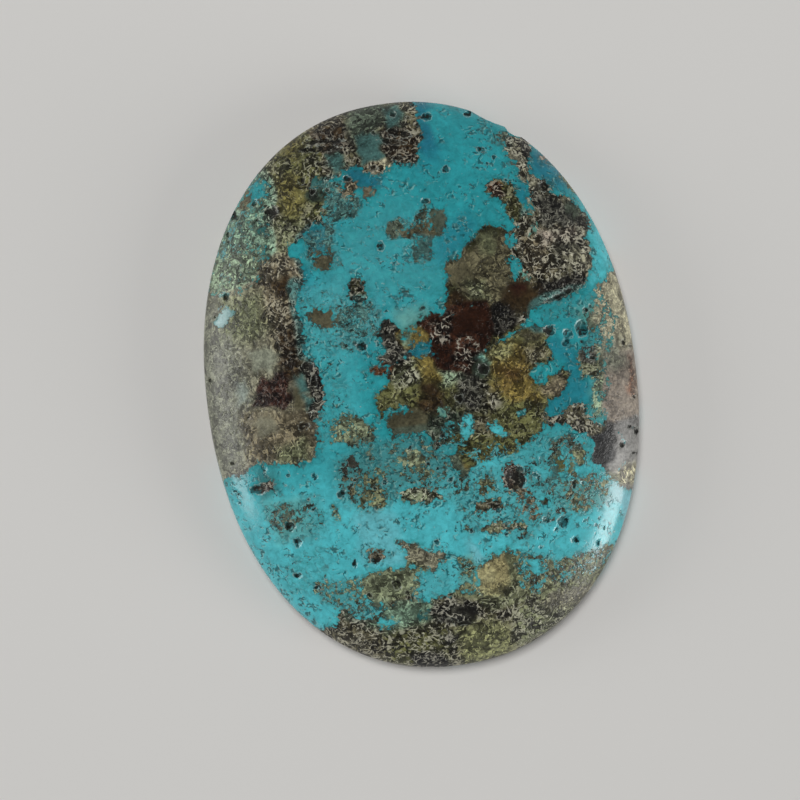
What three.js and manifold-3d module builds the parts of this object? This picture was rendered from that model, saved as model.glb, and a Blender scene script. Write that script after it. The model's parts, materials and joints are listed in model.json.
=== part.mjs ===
// A polished oval cabochon of turquoise in its grey-brown host rock, lying on its flat back.
// Millimetres, +Z up, +Y along the stone. The origin is the middle of the flat back.
// The stone is one solid: a low dome over an upright girdle, a small bevel round the back,
// and the pits, furrows and rim chips where the softer rock broke away in the cutting.

import * as THREE from "three";
import { mergeVertices } from "three/addons/utils/BufferGeometryUtils.js";
import Module from "manifold-3d";

// The oval seen from above.
const LENGTH = 40.0;
const WIDTH = 30.4;
const OVAL_POWER = 2.16; // 2 is a true ellipse, and a little more fills out its shoulders

// The height, from the back upwards.
const BEVEL_WIDTH = 0.45; // the bevel round the back, and how far it comes in
const BEVEL_HEIGHT = 0.4;
const GIRDLE_TOP = 1.6; // where the upright girdle ends and the dome begins
const GIRDLE_DRAFT = 0.15; // the girdle leans in by this much
const DOME_RISE = 4.0;
const DOME_SPREAD = 2.6; // over 2, so the middle is flat and the shoulders are round
const DOME_SHOULDER = 1.4; // over 1, so the dome meets the girdle smoothly

// How finely the smooth body is faceted.
const AROUND = 108;
const DOME_STEPS = 18;

const STONE_COLOUR = 0x3fa1ab;
const STONE_ROUGHNESS = 0.28;

// Pits in the dome: [x, y, half width across X, half width across Y, depth].
const PITS = [
  [-12.0, 12.2, 0.2, 0.24, 0.2],
  [-11.3, 13.4, 0.34, 0.42, 0.26],
  [-9.75, 14.1, 0.2, 0.26, 0.2],
  [-8.7, 13.2, 0.5, 0.42, 0.22],
  [-6.3, 15.1, 0.3, 0.24, 0.26],
  [-6.2, 12.0, 0.24, 0.3, 0.26],
  [-3.15, 14.7, 0.36, 0.2, 0.22],
  [-1.2, 15.25, 0.36, 0.24, 0.24],
  [0.6, 18.9, 0.26, 0.24, 0.2],
  [2.9, 18.4, 0.4, 0.34, 0.22],
  [5.8, 18.3, 0.3, 0.24, 0.24],
  [3.7, 14.4, 0.24, 0.28, 0.2],
  [6.3, 15.5, 0.34, 0.22, 0.22],
  [2.0, 12.4, 0.36, 0.22, 0.22],
  [-1.5, 9.7, 0.34, 0.38, 0.16],
  [10.3, 12.4, 0.36, 0.34, 0.32],
  [-14.6, 2.3, 0.2, 0.22, 0.22],
  [-12.6, 7.9, 0.2, 0.3, 0.24],
  [-3.75, 3.1, 0.36, 0.38, 0.34],
  [4.3, 0.45, 0.42, 0.38, 0.28],
  [9.2, 2.45, 0.46, 0.4, 0.2],
  [10.4, 2.0, 0.38, 0.34, 0.26],
  [10.2, 1.45, 0.26, 0.26, 0.34],
  [11.45, 2.3, 0.46, 0.62, 0.34],
  [14.4, -5.3, 0.24, 0.32, 0.3],
  [13.2, -6.15, 0.22, 0.2, 0.2],
  [14.1, -6.8, 0.22, 0.18, 0.24],
  [9.4, -8.3, 0.2, 0.36, 0.26],
  [5.4, -7.3, 0.72, 0.92, 0.34],
  [8.35, -10.75, 0.44, 0.44, 0.36],
  [9.0, -12.1, 0.28, 0.24, 0.32],
  [10.65, -12.6, 0.18, 0.18, 0.22],
  [7.2, -10.4, 0.32, 0.22, 0.2],
  [-0.5, -10.85, 0.24, 0.2, 0.2],
  [-3.6, -13.4, 0.3, 0.4, 0.4],
  [-4.8, -11.4, 0.38, 0.34, 0.3],
  [-6.3, -11.6, 0.2, 0.36, 0.24],
  [-8.2, -5.25, 0.2, 0.22, 0.26],
  [-12.2, -5.6, 0.6, 0.38, 0.22],
  [-10.4, -8.45, 0.4, 0.38, 0.32],
  [-10.05, -9.6, 0.28, 0.38, 0.26],
  [-10.4, -11.9, 0.3, 0.2, 0.24],
  [-6.5, -6.7, 0.34, 0.28, 0.28],
  [-9.1, -12.95, 0.32, 0.18, 0.22],
  [-8.4, -1.7, 0.42, 0.26, 0.28],
  [-7.6, 2.3, 0.4, 0.36, 0.24],
  [-7.3, 1.2, 0.28, 0.5, 0.24],
];

// Furrows in the dome, where thin beds of rock weathered out:
// [from x, from y, to x, to y, half width, depth].
const FURROWS = [
  [-5.9, 17.85, -3.0, 17.5, 0.2, 0.24],
  [-6.3, 17.3, -3.2, 17.0, 0.22, 0.28],
  [-5.2, 16.1, -4.1, 16.05, 0.16, 0.22],
  [0.0, 17.75, 1.7, 17.15, 0.26, 0.3],
  [-0.55, 17.15, 1.3, 16.65, 0.24, 0.3],
  [0.1, 15.75, 1.0, 15.6, 0.16, 0.22],
  [-1.0, -16.3, 0.2, -16.55, 0.22, 0.26],
  [-0.2, -16.7, 1.2, -16.85, 0.18, 0.24],
  [3.2, -8.75, 4.1, -9.0, 0.18, 0.24],
  [9.0, 4.3, 11.6, 5.15, 0.18, 0.2],
];

// Chips off the rim: [direction in degrees from +X, half length along the rim, depth into it].
const CHIPS = [
  [66, 1.9, 0.42],
  [61.8, 0.85, 0.54],
  [-63, 0.8, 0.12],
  [-97, 1.7, 0.2],
];
const CHIP_MIDDLE = 0.8; // the height of a chip's middle
const CHIP_REACH = 2.0; // how far a chip runs up and down from there

const LEFT_OUT = 0.35; // the share of a pit's cutter that stands above the dome

// The oval's radius from its middle, in the direction of an angle.
function ovalRadius(angle) {
  const across = Math.abs(Math.cos(angle) / (WIDTH / 2)) ** OVAL_POWER;
  const along = Math.abs(Math.sin(angle) / (LENGTH / 2)) ** OVAL_POWER;
  return (across + along) ** (-1 / OVAL_POWER);
}

// The dome's height at a share of the way from the crown to its edge.
function domeHeight(share) {
  return GIRDLE_TOP + DOME_RISE * (1 - share ** DOME_SPREAD) ** (1 / DOME_SHOULDER);
}

// The dome's height over a point of the plan.
function surfaceHeight(x, y) {
  const edge = ovalRadius(Math.atan2(y, x)) - GIRDLE_DRAFT;
  return domeHeight(Math.min(1, Math.hypot(x, y) / edge));
}

// The rows of the section, from the middle of the back out, up the girdle and over to the crown.
function sectionRows() {
  const rows = [
    { share: 0, inset: 0, z: 0 },
    { share: 1, inset: BEVEL_WIDTH, z: 0 },
    { share: 1, inset: 0, z: BEVEL_HEIGHT },
    { share: 1, inset: GIRDLE_DRAFT, z: GIRDLE_TOP },
  ];
  for (let step = DOME_STEPS - 1; step > 0; step--) {
    const share = Math.sin((step / DOME_STEPS) * (Math.PI / 2)) ** (2 / DOME_SPREAD);
    rows.push({ share, inset: GIRDLE_DRAFT * share, z: domeHeight(share) });
  }
  rows.push({ share: 0, inset: 0, z: domeHeight(0) });
  return rows;
}

// The smooth body: a turned section whose rings are then stretched from circles to the oval.
function smoothBody() {
  const rows = sectionRows();
  const section = rows.map((row) => new THREE.Vector2(row.share, row.z));
  const body = new THREE.LatheGeometry(section, AROUND);
  const position = body.attributes.position;
  for (let i = 0; i < position.count; i++) {
    const row = rows[i % rows.length];
    const turn = Math.floor(i / rows.length) % AROUND;
    const angle = (turn / AROUND) * 2 * Math.PI;
    const radius = ovalRadius(angle) * row.share - row.inset;
    position.setXYZ(i, radius * Math.cos(angle), radius * Math.sin(angle), row.z);
  }
  return body;
}

// A pit's cutter: a flattened ball, sunk into the dome.
function pitCutter([x, y, halfX, halfY, depth]) {
  const high = surfaceHeight(x, y) + depth * LEFT_OUT;
  return new THREE.IcosahedronGeometry(1, 1)
    .scale(halfX, halfY, depth * (1 + LEFT_OUT))
    .translate(x, y, high);
}

// A furrow's cutter: a long flattened ball laid between its two ends.
function furrowCutter([fromX, fromY, toX, toY, halfWidth, depth]) {
  const [x, y] = [(fromX + toX) / 2, (fromY + toY) / 2];
  const halfLength = Math.hypot(toX - fromX, toY - fromY) / 2;
  const slope = surfaceHeight(toX, toY) - surfaceHeight(fromX, fromY);
  const high = (surfaceHeight(toX, toY) + surfaceHeight(fromX, fromY)) / 2 + depth * LEFT_OUT;
  return new THREE.IcosahedronGeometry(1, 1)
    .scale(halfLength, halfWidth, depth * (1 + LEFT_OUT))
    .rotateY(-Math.atan2(slope, 2 * halfLength))
    .rotateZ(Math.atan2(toY - fromY, toX - fromX))
    .translate(x, y, high);
}

// A chip's cutter: a ball outside the rim whose nearest part reaches into it by the chip's depth.
function chipCutter([direction, halfLength, depth]) {
  const angle = THREE.MathUtils.degToRad(direction);
  const round = (halfLength ** 2 + depth ** 2) / (2 * depth);
  const high = CHIP_REACH / Math.sqrt(1 - (1 - depth / round) ** 2);
  const away = ovalRadius(angle) + round - depth;
  return new THREE.IcosahedronGeometry(1, 4)
    .scale(round, round, high)
    .translate(away * Math.cos(angle), away * Math.sin(angle), CHIP_MIDDLE);
}

const wasm = await Module();
wasm.setup();

// A closed geometry as a solid that can be cut.
function solidOf(geometry) {
  const bare = geometry.clone();
  bare.deleteAttribute("normal");
  bare.deleteAttribute("uv");
  const merged = mergeVertices(bare, 1e-4);
  return new wasm.Manifold(
    new wasm.Mesh({
      numProp: 3,
      vertProperties: new Float32Array(merged.attributes.position.array),
      triVerts: new Uint32Array(merged.index.array),
    }),
  );
}

// A solid back as a geometry with flat facets.
function geometryOf(solid) {
  const { vertProperties, triVerts } = solid.getMesh();
  const geometry = new THREE.BufferGeometry();
  geometry.setAttribute("position", new THREE.BufferAttribute(vertProperties, 3));
  geometry.setIndex(new THREE.BufferAttribute(triVerts, 1));
  const faceted = geometry.toNonIndexed();
  faceted.computeVertexNormals();
  return faceted;
}

const cutters = [
  ...PITS.map(pitCutter),
  ...FURROWS.map(furrowCutter),
  ...CHIPS.map(chipCutter),
];
const cut = cutters.reduce(
  (stone, cutter) => stone.subtract(solidOf(cutter)),
  solidOf(smoothBody()),
);

const cabochon = new THREE.Mesh(
  geometryOf(cut),
  new THREE.MeshStandardMaterial({
    color: STONE_COLOUR,
    roughness: STONE_ROUGHNESS,
    metalness: 0,
  }),
);
cabochon.name = "turquoise_cabochon";

const part = new THREE.Group();
part.add(cabochon);

export default part;
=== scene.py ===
# %% [markdown]
# # A turquoise cabochon
# The object is an oval of turquoise, cut with the rock it grew in and polished to a low dome.
# Gem cutters call such a stone a cabochon. It lies on its flat back, seen from straight above.
# The packed CAD model gives its size and its place. This lesson adds what a solid alone can't
# show: the veins and patches of rock, the crumbly grain, the finest pits, the polish and the
# lapped back.

import json
import math

import bmesh
import bpy
import numpy as np
from mathutils import Matrix, Vector, noise

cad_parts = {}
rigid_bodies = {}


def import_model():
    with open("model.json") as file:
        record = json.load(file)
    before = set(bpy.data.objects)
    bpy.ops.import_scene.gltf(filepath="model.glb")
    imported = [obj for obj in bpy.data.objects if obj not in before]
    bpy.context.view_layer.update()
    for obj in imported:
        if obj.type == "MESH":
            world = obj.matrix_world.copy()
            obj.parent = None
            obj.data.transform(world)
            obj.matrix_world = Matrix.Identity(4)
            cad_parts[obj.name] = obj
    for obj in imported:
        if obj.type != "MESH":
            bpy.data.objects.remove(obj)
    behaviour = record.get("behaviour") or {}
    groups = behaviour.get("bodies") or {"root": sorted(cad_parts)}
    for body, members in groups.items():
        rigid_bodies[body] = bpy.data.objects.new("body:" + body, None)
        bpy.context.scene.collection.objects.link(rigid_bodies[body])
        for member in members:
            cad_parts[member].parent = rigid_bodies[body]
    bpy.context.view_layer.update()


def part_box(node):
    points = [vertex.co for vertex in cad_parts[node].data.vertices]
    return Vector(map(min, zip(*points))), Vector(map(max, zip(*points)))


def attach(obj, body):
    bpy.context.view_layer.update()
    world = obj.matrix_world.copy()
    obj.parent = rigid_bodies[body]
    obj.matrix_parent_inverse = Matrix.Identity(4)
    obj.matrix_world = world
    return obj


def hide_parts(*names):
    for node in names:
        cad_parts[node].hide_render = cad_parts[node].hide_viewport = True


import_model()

# %% [markdown]
# ## The sizes
# The outline is a superellipse: an oval whose shoulders are a little fuller than an ellipse's.
# Its half width, half length and height come from the CAD solid's box, so that the two agree.
# Lengths in this lesson are in millimetres until the mesh is made, because a stone is thought of
# in millimetres. Blender and the CAD model count in metres.

# %% Sizes of the stone, in millimetres
MM = 0.001
low_corner, high_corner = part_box("turquoise_cabochon")
HALF_WIDTH = (high_corner[0] - low_corner[0]) / 2 / MM
HALF_LENGTH = (high_corner[1] - low_corner[1]) / 2 / MM
OVAL_POWER = 2.16

GIRDLE_TOP = 1.6
GIRDLE_DRAFT = 0.15
BEVEL_WIDTH = 0.45
BEVEL_HEIGHT = 0.4
DOME_RISE = (high_corner[2] - low_corner[2]) / MM - GIRDLE_TOP
DOME_SPREAD = 2.6
DOME_SHOULDER = 1.4


def oval_radius(angle):
    """How far the outline is from the middle, in each direction."""
    across = np.abs(np.cos(angle) / HALF_WIDTH) ** OVAL_POWER
    along = np.abs(np.sin(angle) / HALF_LENGTH) ** OVAL_POWER
    return (across + along) ** (-1 / OVAL_POWER)


def dome_height(share):
    """The height at a share of the way from the crown out to the girdle."""
    return GIRDLE_TOP + DOME_RISE * (1 - share**DOME_SPREAD) ** (1 / DOME_SHOULDER)


print(f"half width {HALF_WIDTH:.2f} mm, half length {HALF_LENGTH:.2f} mm, dome {DOME_RISE:.2f} mm")

# %% [markdown]
# ## The camera
# The photograph was taken from straight above, with the stone's long axis leaning a little to the
# left. A long lens from a short way up keeps the sides from showing. The camera is turned about the
# line of sight instead of turning the stone, because the stone stays in the CAD model's frame.

# %% Camera
STONE_LEAN = math.radians(8)
VIEW_MIDDLE = Vector((-1.65, -0.87, 0)) * MM
FRAME_WIDTH = 56.24 * MM
LENS = 90
SENSOR = 36
PICTURED_HEIGHT = 1.2 * MM
CLIP_NEAR, CLIP_FAR = 0.01, 10

camera_data = bpy.data.cameras.new("camera")
camera_data.lens = LENS
camera_data.sensor_width = SENSOR
camera_data.clip_start = CLIP_NEAR
camera_data.clip_end = CLIP_FAR
camera = bpy.data.objects.new("camera", camera_data)
bpy.context.scene.collection.objects.link(camera)
camera_height = FRAME_WIDTH * LENS / SENSOR
camera.location = VIEW_MIDDLE + Vector((0, 0, camera_height + PICTURED_HEIGHT))
camera.rotation_euler = (0, 0, -STONE_LEAN)
bpy.context.scene.camera = camera
print(f"camera {camera_height / MM:.0f} mm above the stone")

# %% [markdown]
# ## The table under the stone
# The photograph has black card. The library shows every part on a plain pale floor, so a wide pale
# sheet stands in for the card.

# %% Floor
FLOOR_SIZE = 1.6
FLOOR_COLOUR = (0.72, 0.71, 0.69, 1)
FLOOR_ROUGHNESS = 0.85

floor_bm = bmesh.new()
bmesh.ops.create_grid(floor_bm, x_segments=1, y_segments=1, size=FLOOR_SIZE / 2)
floor_mesh = bpy.data.meshes.new("floor")
floor_bm.to_mesh(floor_mesh)
floor_bm.free()
floor = bpy.data.objects.new("floor", floor_mesh)
bpy.context.scene.collection.objects.link(floor)
floor_paint = bpy.data.materials.new("pale_floor")
floor_paint.use_nodes = True
floor_shader = floor_paint.node_tree.nodes["Principled BSDF"]
floor_shader.inputs["Base Color"].default_value = FLOOR_COLOUR
floor_shader.inputs["Roughness"].default_value = FLOOR_ROUGHNESS
floor_mesh.materials.append(floor_paint)
print("floor laid")

# %% [markdown]
# ## The light
# The dome mirrors whatever stands low beside it: in the photograph a pale sheen lies along the left
# flank and another on the lower right, while the middle mirrors nothing and shows its full
# colour. So two soft panels stand low on either side for the sheens, and the room gets darker
# upwards. A third panel overhead lights the markings evenly. Its own mirror image would veil the
# middle, as it would in a studio without a polariser, so it is switched off for glossy rays.

# %% Lights
def soft_panel(name, direction, distance, width, height, power, colour=(1, 1, 1)):
    """An area light at a distance along a direction from the stone, facing it."""
    data = bpy.data.lights.new(name, "AREA")
    data.shape = "RECTANGLE"
    data.size = width
    data.size_y = height
    data.energy = power
    data.color = colour
    lamp = bpy.data.objects.new(name, data)
    lamp.location = Vector(direction).normalized() * distance
    lamp.rotation_euler = (-lamp.location).to_track_quat("-Z", "Y").to_euler()
    bpy.context.scene.collection.objects.link(lamp)
    return lamp


soft_panel("left_panel", (-1.0, 0.1, 0.30), distance=1.0, width=0.8, height=0.32, power=3.2,
           colour=(1.0, 0.99, 0.97))
soft_panel("right_panel", (1.0, -0.6, 0.32), distance=1.0, width=0.6, height=0.36, power=4.3,
           colour=(1.0, 0.98, 0.95))
upper_panel = soft_panel("upper_panel", (-0.1, 0.3, 1.0), distance=0.9, width=0.35, height=0.35,
                         power=4.7)
upper_panel.visible_glossy = False

# %% The room around the stone
ROOM_LOW = 0.20
ROOM_HIGH = 0.05
ROOM_FADES_FROM, ROOM_FADES_TO = 0.1, 0.85
ROOM_COLOUR = (0.95, 0.98, 1.0, 1)

world = bpy.data.worlds.new("studio")
world.use_nodes = True
room = world.node_tree
direction = room.nodes.new("ShaderNodeTexCoord").outputs["Generated"]
parts = room.nodes.new("ShaderNodeSeparateXYZ")
room.links.new(direction, parts.inputs[0])
fading = room.nodes.new("ShaderNodeMapRange")
fading.interpolation_type = "SMOOTHSTEP"
fade = (ROOM_FADES_FROM, ROOM_FADES_TO, ROOM_LOW, ROOM_HIGH)
for index, value in enumerate(fade, start=1):
    fading.inputs[index].default_value = value
room.links.new(parts.outputs["Z"], fading.inputs["Value"])
room.links.new(fading.outputs[0], room.nodes["Background"].inputs["Strength"])
room.nodes["Background"].inputs["Color"].default_value = ROOM_COLOUR
bpy.context.scene.world = world
bpy.context.scene.view_settings.view_transform = "Standard"
print(f"the room fades from {ROOM_LOW} to {ROOM_HIGH} upwards")

# %% [markdown]
# ## The smooth stone
# A lathe would make the dome, but its rings crowd together at the crown and spread at the rim. A
# square grid pulled out into a disc has cells of nearly one size all over, which the small pits
# and the painted markings need. Each row is set out along the curve of the dome, so the cells stay
# even where it turns down at the edge. The rim is then extruded down the girdle and in over the
# bevel, and a coarser disc closes the back.

# %% Body: the dome from a grid
CELLS_ACROSS = 224
CELLS_ALONG = 290
PROFILE_POINTS = 2001

profile_share = np.linspace(0, 1, PROFILE_POINTS)
profile_height = dome_height(profile_share)
mean_radius = (HALF_WIDTH + HALF_LENGTH) / 2
steps = np.hypot(np.diff(profile_share) * mean_radius, np.diff(profile_height))
profile_arc = np.concatenate([[0], np.cumsum(steps)])
profile_arc /= profile_arc[-1]


def disc_from_square(u, v):
    """Pulls a point of the square out into the round disc."""
    return u * math.sqrt(1 - v * v / 2), v * math.sqrt(1 - u * u / 2)


def lay_disc(bm, across, along, place):
    """A disc of grid cells, with place(radius share, angle) giving each vertex its spot."""
    made = bmesh.ops.create_grid(bm, x_segments=across, y_segments=along, size=1)
    for vert in made["verts"]:
        u, v = disc_from_square(vert.co.x, vert.co.y)
        angle = math.atan2(v * HALF_LENGTH, u * HALF_WIDTH)
        vert.co = place(min(1.0, math.hypot(u, v)), angle)
    return made["verts"]


def on_dome(radius, angle):
    """The spot on the dome at a share of the way along its curve."""
    share = float(np.interp(radius, profile_arc, profile_share))
    reach = (float(oval_radius(angle)) - GIRDLE_DRAFT) * share
    return Vector((reach * math.cos(angle), reach * math.sin(angle), float(dome_height(share))))


bm = bmesh.new()
lay_disc(bm, CELLS_ACROSS, CELLS_ALONG, on_dome)
print(f"dome: {len(bm.verts)} vertices, {len(bm.faces)} faces")

# %% Body: the girdle and the bevel, extruded from the rim
GIRDLE_ROWS = 7
BEVEL_ROWS = 3

girdle_height = GIRDLE_TOP - BEVEL_HEIGHT
rows = [
    (GIRDLE_DRAFT * (1 - k / GIRDLE_ROWS), GIRDLE_TOP - girdle_height * k / GIRDLE_ROWS)
    for k in range(1, GIRDLE_ROWS + 1)
] + [
    (BEVEL_WIDTH * k / BEVEL_ROWS, BEVEL_HEIGHT * (1 - k / BEVEL_ROWS))
    for k in range(1, BEVEL_ROWS + 1)
]

rim = [edge for edge in bm.edges if edge.is_boundary]
for inset, height in rows:
    made = bmesh.ops.extrude_edge_only(bm, edges=rim)["geom"]
    for vert in (g for g in made if isinstance(g, bmesh.types.BMVert)):
        angle = math.atan2(vert.co.y, vert.co.x)
        reach = float(oval_radius(angle)) - inset
        vert.co = (reach * math.cos(angle), reach * math.sin(angle), height)
    rim = [g for g in made if isinstance(g, bmesh.types.BMEdge)]
print(f"rim loop: {len(rim)} edges")

# %% Body: the flat back
BACK_MARGIN = 0.4
BACK_SHARE = 0.5

back_verts = lay_disc(
    bm,
    int(CELLS_ACROSS * BACK_SHARE),
    int(CELLS_ALONG * BACK_SHARE),
    lambda radius, angle: Vector((math.cos(angle), math.sin(angle), 0))
    * (float(oval_radius(angle)) - BEVEL_WIDTH - BACK_MARGIN)
    * radius,
)
back_faces = list(dict.fromkeys(f for vert in back_verts for f in vert.link_faces))
bmesh.ops.reverse_faces(bm, faces=back_faces)
back_edges = dict.fromkeys(e for vert in back_verts for e in vert.link_edges)
back_rim = [edge for edge in back_edges if edge.is_boundary]
bmesh.ops.bridge_loops(bm, edges=rim + back_rim)
bmesh.ops.recalc_face_normals(bm, faces=bm.faces)
open_edges = sum(edge.is_boundary for edge in bm.edges)
print(f"closed body: {len(bm.verts)} vertices, {len(bm.faces)} faces, {open_edges} open edges")

# %% [markdown]
# Extruding leaves its new faces in an order that changes from run to run. Sorting them by their
# vertices makes every run write the same mesh.

# %% Body: the faces in a fixed order, and the mesh
def face_rank(face):
    """A number of its own for each face, from its three lowest vertices."""
    first, second, third = sorted(vert.index for vert in face.verts)[:3]
    return (first * len(bm.verts) + second) * len(bm.verts) + third


bm.verts.index_update()
bm.faces.sort(key=face_rank)
stone_mesh = bpy.data.meshes.new("turquoise_stone")
bm.to_mesh(stone_mesh)
bm.free()

# %% [markdown]
# ## Reading the markings
# Turquoise grew in the cracks and hollows of a brown rock, so the face is a map of two stones. A
# painter would block in that map first and add the grain afterwards. The map is kept as values on
# the vertices: how far a point lies inside the rock, how much the two stones mingle there, the
# colour of each, and how coarse the grain is. The shader turns those smooth values into crisp
# edges. Each patch is an outline read off the photograph, in millimetres from the middle of the
# stone.

# %% Palette, as seen on a screen
PALETTE = {
    "turquoise": (46, 153, 161),
    "lower turquoise": (82, 190, 199),
    "deep blue": (34, 108, 130),
    "sea blue": (34, 122, 138),
    # sky is a pale hue of the turquoise, and on the lower right flank also a painted sheen
    "sky": (124, 190, 200),
    "pale mint": (116, 166, 152),
    "teal": (58, 108, 106),
    "gem": (126, 166, 166),
    "brown grey": (80, 77, 58),
    "dark brown": (52, 40, 24),
    "red brown": (40, 20, 10),
    "grained red brown": (54, 34, 24),
    "maroon": (46, 24, 17),
    "bean brown": (74, 46, 28),
    "olive": (82, 83, 50),
    "dark olive": (46, 46, 28),
    "ochre": (112, 98, 52),
    "khaki": (100, 104, 78),
    "moss": (118, 120, 84),
    "soft mint": (108, 134, 114),
    "moss gold": (90, 85, 48),
    "slate": (24, 26, 28),
    # This pale colour is partly the rock's own and partly a painted sheen along the right rim.
    "pale rock and rim sheen": (152, 148, 124),
    "drab": (86, 82, 62),
    "grain beige": (106, 98, 78),
    "pale khaki": (116, 124, 98),
    "beige": (124, 115, 93),
    "grey beige": (114, 112, 94),
    "flank grey": (112, 114, 99),
    "pale grey": (138, 142, 124),
    "blue grey": (132, 142, 132),
    "charcoal": (46, 46, 40),
    "black": (24, 22, 19),
    "gold": (120, 106, 56),
    "sand": (142, 134, 96),
    "pale sand": (160, 155, 116),
    "rust": (112, 78, 58),
    "pink grey": (136, 126, 114),
    # This grey is partly the rock's and partly a painted reflection at the right rim.
    "rim grey and sheen": (128, 127, 124),
    "grey green": (74, 84, 71),
    "dark green": (42, 52, 42),
    "mint rock": (118, 136, 112),
    "teal rock": (64, 98, 94),
}

# %% [markdown]
# A kind says what an outline does. A *rock* patch lays rock with a crisp edge. A *pocket* opens
# turquoise in the rock. A *mingled* patch is speckled with both. A *stain* only changes the colour
# of the rock, and a *wash* only that of the turquoise. After the kind come the colour, a
# strength, the softness of the edge and the outline. The strength is the coarseness of the grain
# for a rock or a stain, the mingling for a pocket or a mingled patch, and the depth of colour for
# a wash. A mingled patch ends with one more number, which favours turquoise when it is below 0.

# %% Markings of the turquoise itself, and a painted sheen on its lower right flank
WASHES = [
    ("wash", "lower turquoise", 1.0, 3.0, (-17, -5.5, 17, -5.5, 17, -21, -17, -21)),
    ("wash", "sea blue", 0.7, 0.7, (2.2, 9.6, 3.4, 11.0, 5.0, 11.4, 5.6, 10.4, 4.4, 9.2, 3.3, 8.3,
     2.3, 8.2)),
    ("wash", "sea blue", 0.6, 0.6, (-7.9, 9.4, -6.6, 9.2, -6.4, 7.6, -7.6, 6.7)),
    ("wash", "deep blue", 0.9, 0.35, (2.3, 20, 3.1, 19.8, 3.2, 19.0, 2.7, 18.6, 3.1, 17.6,
     3.5, 16.4, 2.7, 15.8, 2.1, 16.4, 2.4, 17.6)),
    ("wash", "sea blue", 0.7, 0.8, (2.0, 16.4, 3.8, 16.6, 3.6, 15.2, 2.0, 15.0)),
    ("wash", "deep blue", 0.8, 0.3, (-3.2, 15.9, -2.2, 15.9, -1.8, 15.2, -0.7, 14.9, -0.7, 14.2,
     -1.6, 14.2, -2.6, 14.4, -3.3, 15.0)),
    ("wash", "sea blue", 0.9, 0.3, (8.6, 13.1, 9.3, 13.1, 9.4, 11.4, 8.6, 11.8)),
    ("wash", "sea blue", 1.0, 0.4, (9.9, 15.4, 10.9, 14.8, 12.2, 13.0, 12.0, 11.9, 10.6, 12.6,
     9.7, 13.9)),
    ("wash", "deep blue", 0.35, 0.5, (9.9, 14.9, 10.8, 14.6, 11.4, 13.6, 10.4, 13.4, 9.8, 14.1)),
    ("wash", "lower turquoise", 0.9, 0.6, (12.9, 11.6, 15.5, 8, 15.3, 5.4, 13.6, 5.0, 12.6, 5.6,
     13.0, 9.8)),
    ("wash", "pale mint", 0.9, 0.9, (-14.6, 7.5, -13.2, 11.4, -11.4, 14.0, -9.6, 16.2, -8.6, 15.0,
     -9.6, 12.4, -10.2, 9.8, -10.4, 8.3)),
    ("wash", "sky", 0.75, 0.5, (-11.7, 14.0, -10.5, 13.6, -10.9, 12.9, -12.6, 10.7, -13.4, 11.0)),
    ("wash", "teal", 0.8, 0.5, (-9.8, 12.9, -9.1, 12.8, -9.2, 12.0, -10.0, 12.0)),
    ("wash", "sea blue", 0.9, 0.35, (-8.2, 11.2, -6.8, 11.4, -6.0, 12.2, -5.2, 11.9, -5.2, 10.2,
     -8.0, 10.2)),
    ("wash", "sea blue", 0.8, 0.5, (9.0, 2.0, 10.1, 1.6, 11.3, 0.8, 11.3, -1.0, 11.9, -1.6,
     11.7, -2.6, 9.4, -3.6, 8.4, -3.2, 8.6, -2.2, 10.2, -1.2, 10.2, 0.2, 9.2, 0.6)),
    ("wash", "sky", 0.45, 0.6, (-6.0, -8.6, -4.6, -8.0, -3.3, -8.6, -3.0, -10.2, -2.6, -12.4,
     -4.2, -12.4, -5.8, -12.0)),
    ("wash", "sky", 0.7, 0.5, (1.7, -11.4, 2.7, -11.6, 2.9, -12.9, 2.0, -13.1)),
    # The next two sky washes are painted sheen: a painted reflection of light along the lower right
    # flank, out to the rim.
    ("wash", "sky", 0.8, 0.8, (11.4, -9.0, 13.4, -8.9, 13.9, -10.6, 12.6, -12.6, 11.2, -12.6)),
    ("wash", "sky", 1.0, 0.5, (12.4, -9.0, 15.0, -8.6, 14.4, -12, 12.0, -15.0, 11.0, -13.6,
     12.4, -11.4)),
    ("wash", "pale mint", 0.6, 0.5, (-1.3, 5.3, 1.0, 5.4, 1.2, 4.7, 0.2, 4.0, -0.9, 3.9,
     -1.1, 4.5)),
    ("wash", "pale mint", 0.6, 0.6, (11.4, 3.4, 13.4, 4.4, 14.0, 2.4, 13.2, -2.0, 12.4, -4.2,
     11.4, -3.9, 12.2, -1.0, 12.2, 1.0)),
    ("wash", "pale mint", 0.7, 0.3, (0.6, -12.4, 1.9, -12.4, 2.0, -14.6, 0.7, -14.8)),
    ("wash", "lower turquoise", 0.4, 0.8, (-7.9, 8.0, -4.6, 8.0, -4.4, 3.0, -4.4, -3.6,
     -7.6, -4.4)),
    ("wash", "lower turquoise", 0.3, 0.8, (-7.6, 6.3, -5.3, 6.6, -2.4, 6.0, -2.2, 4.6, -3.6, 3.6,
     -5.6, 4.2, -7.4, 4.6)),
    ("wash", "teal", 0.45, 0.8, (-3.2, -3.6, 1.2, -3.8, 1.6, -6.6, -2.2, -6.8, -5.2, -8.2,
     -6.6, -6.6, -6.4, -4.6)),
    ("wash", "pale mint", 0.45, 0.9, (8.8, -7.0, 11.6, -7.2, 12.0, -9.8, 9.8, -11.4, 8.4, -9.4)),
    ("wash", "teal", 0.6, 0.4, (-12.4, -4.4, -11.0, -4.4, -10.8, -6.2, -12.2, -6.6)),
    ("wash", "pale mint", 0.4, 0.8, (-12.0, -6.6, -9.4, -6.8, -9.2, -9.4, -11.6, -9.6)),
    ("wash", "teal", 0.5, 0.3, (-5.3, -15.2, -3.7, -15.8, -3.8, -16.7, -5.4, -16.4)),
]

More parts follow.
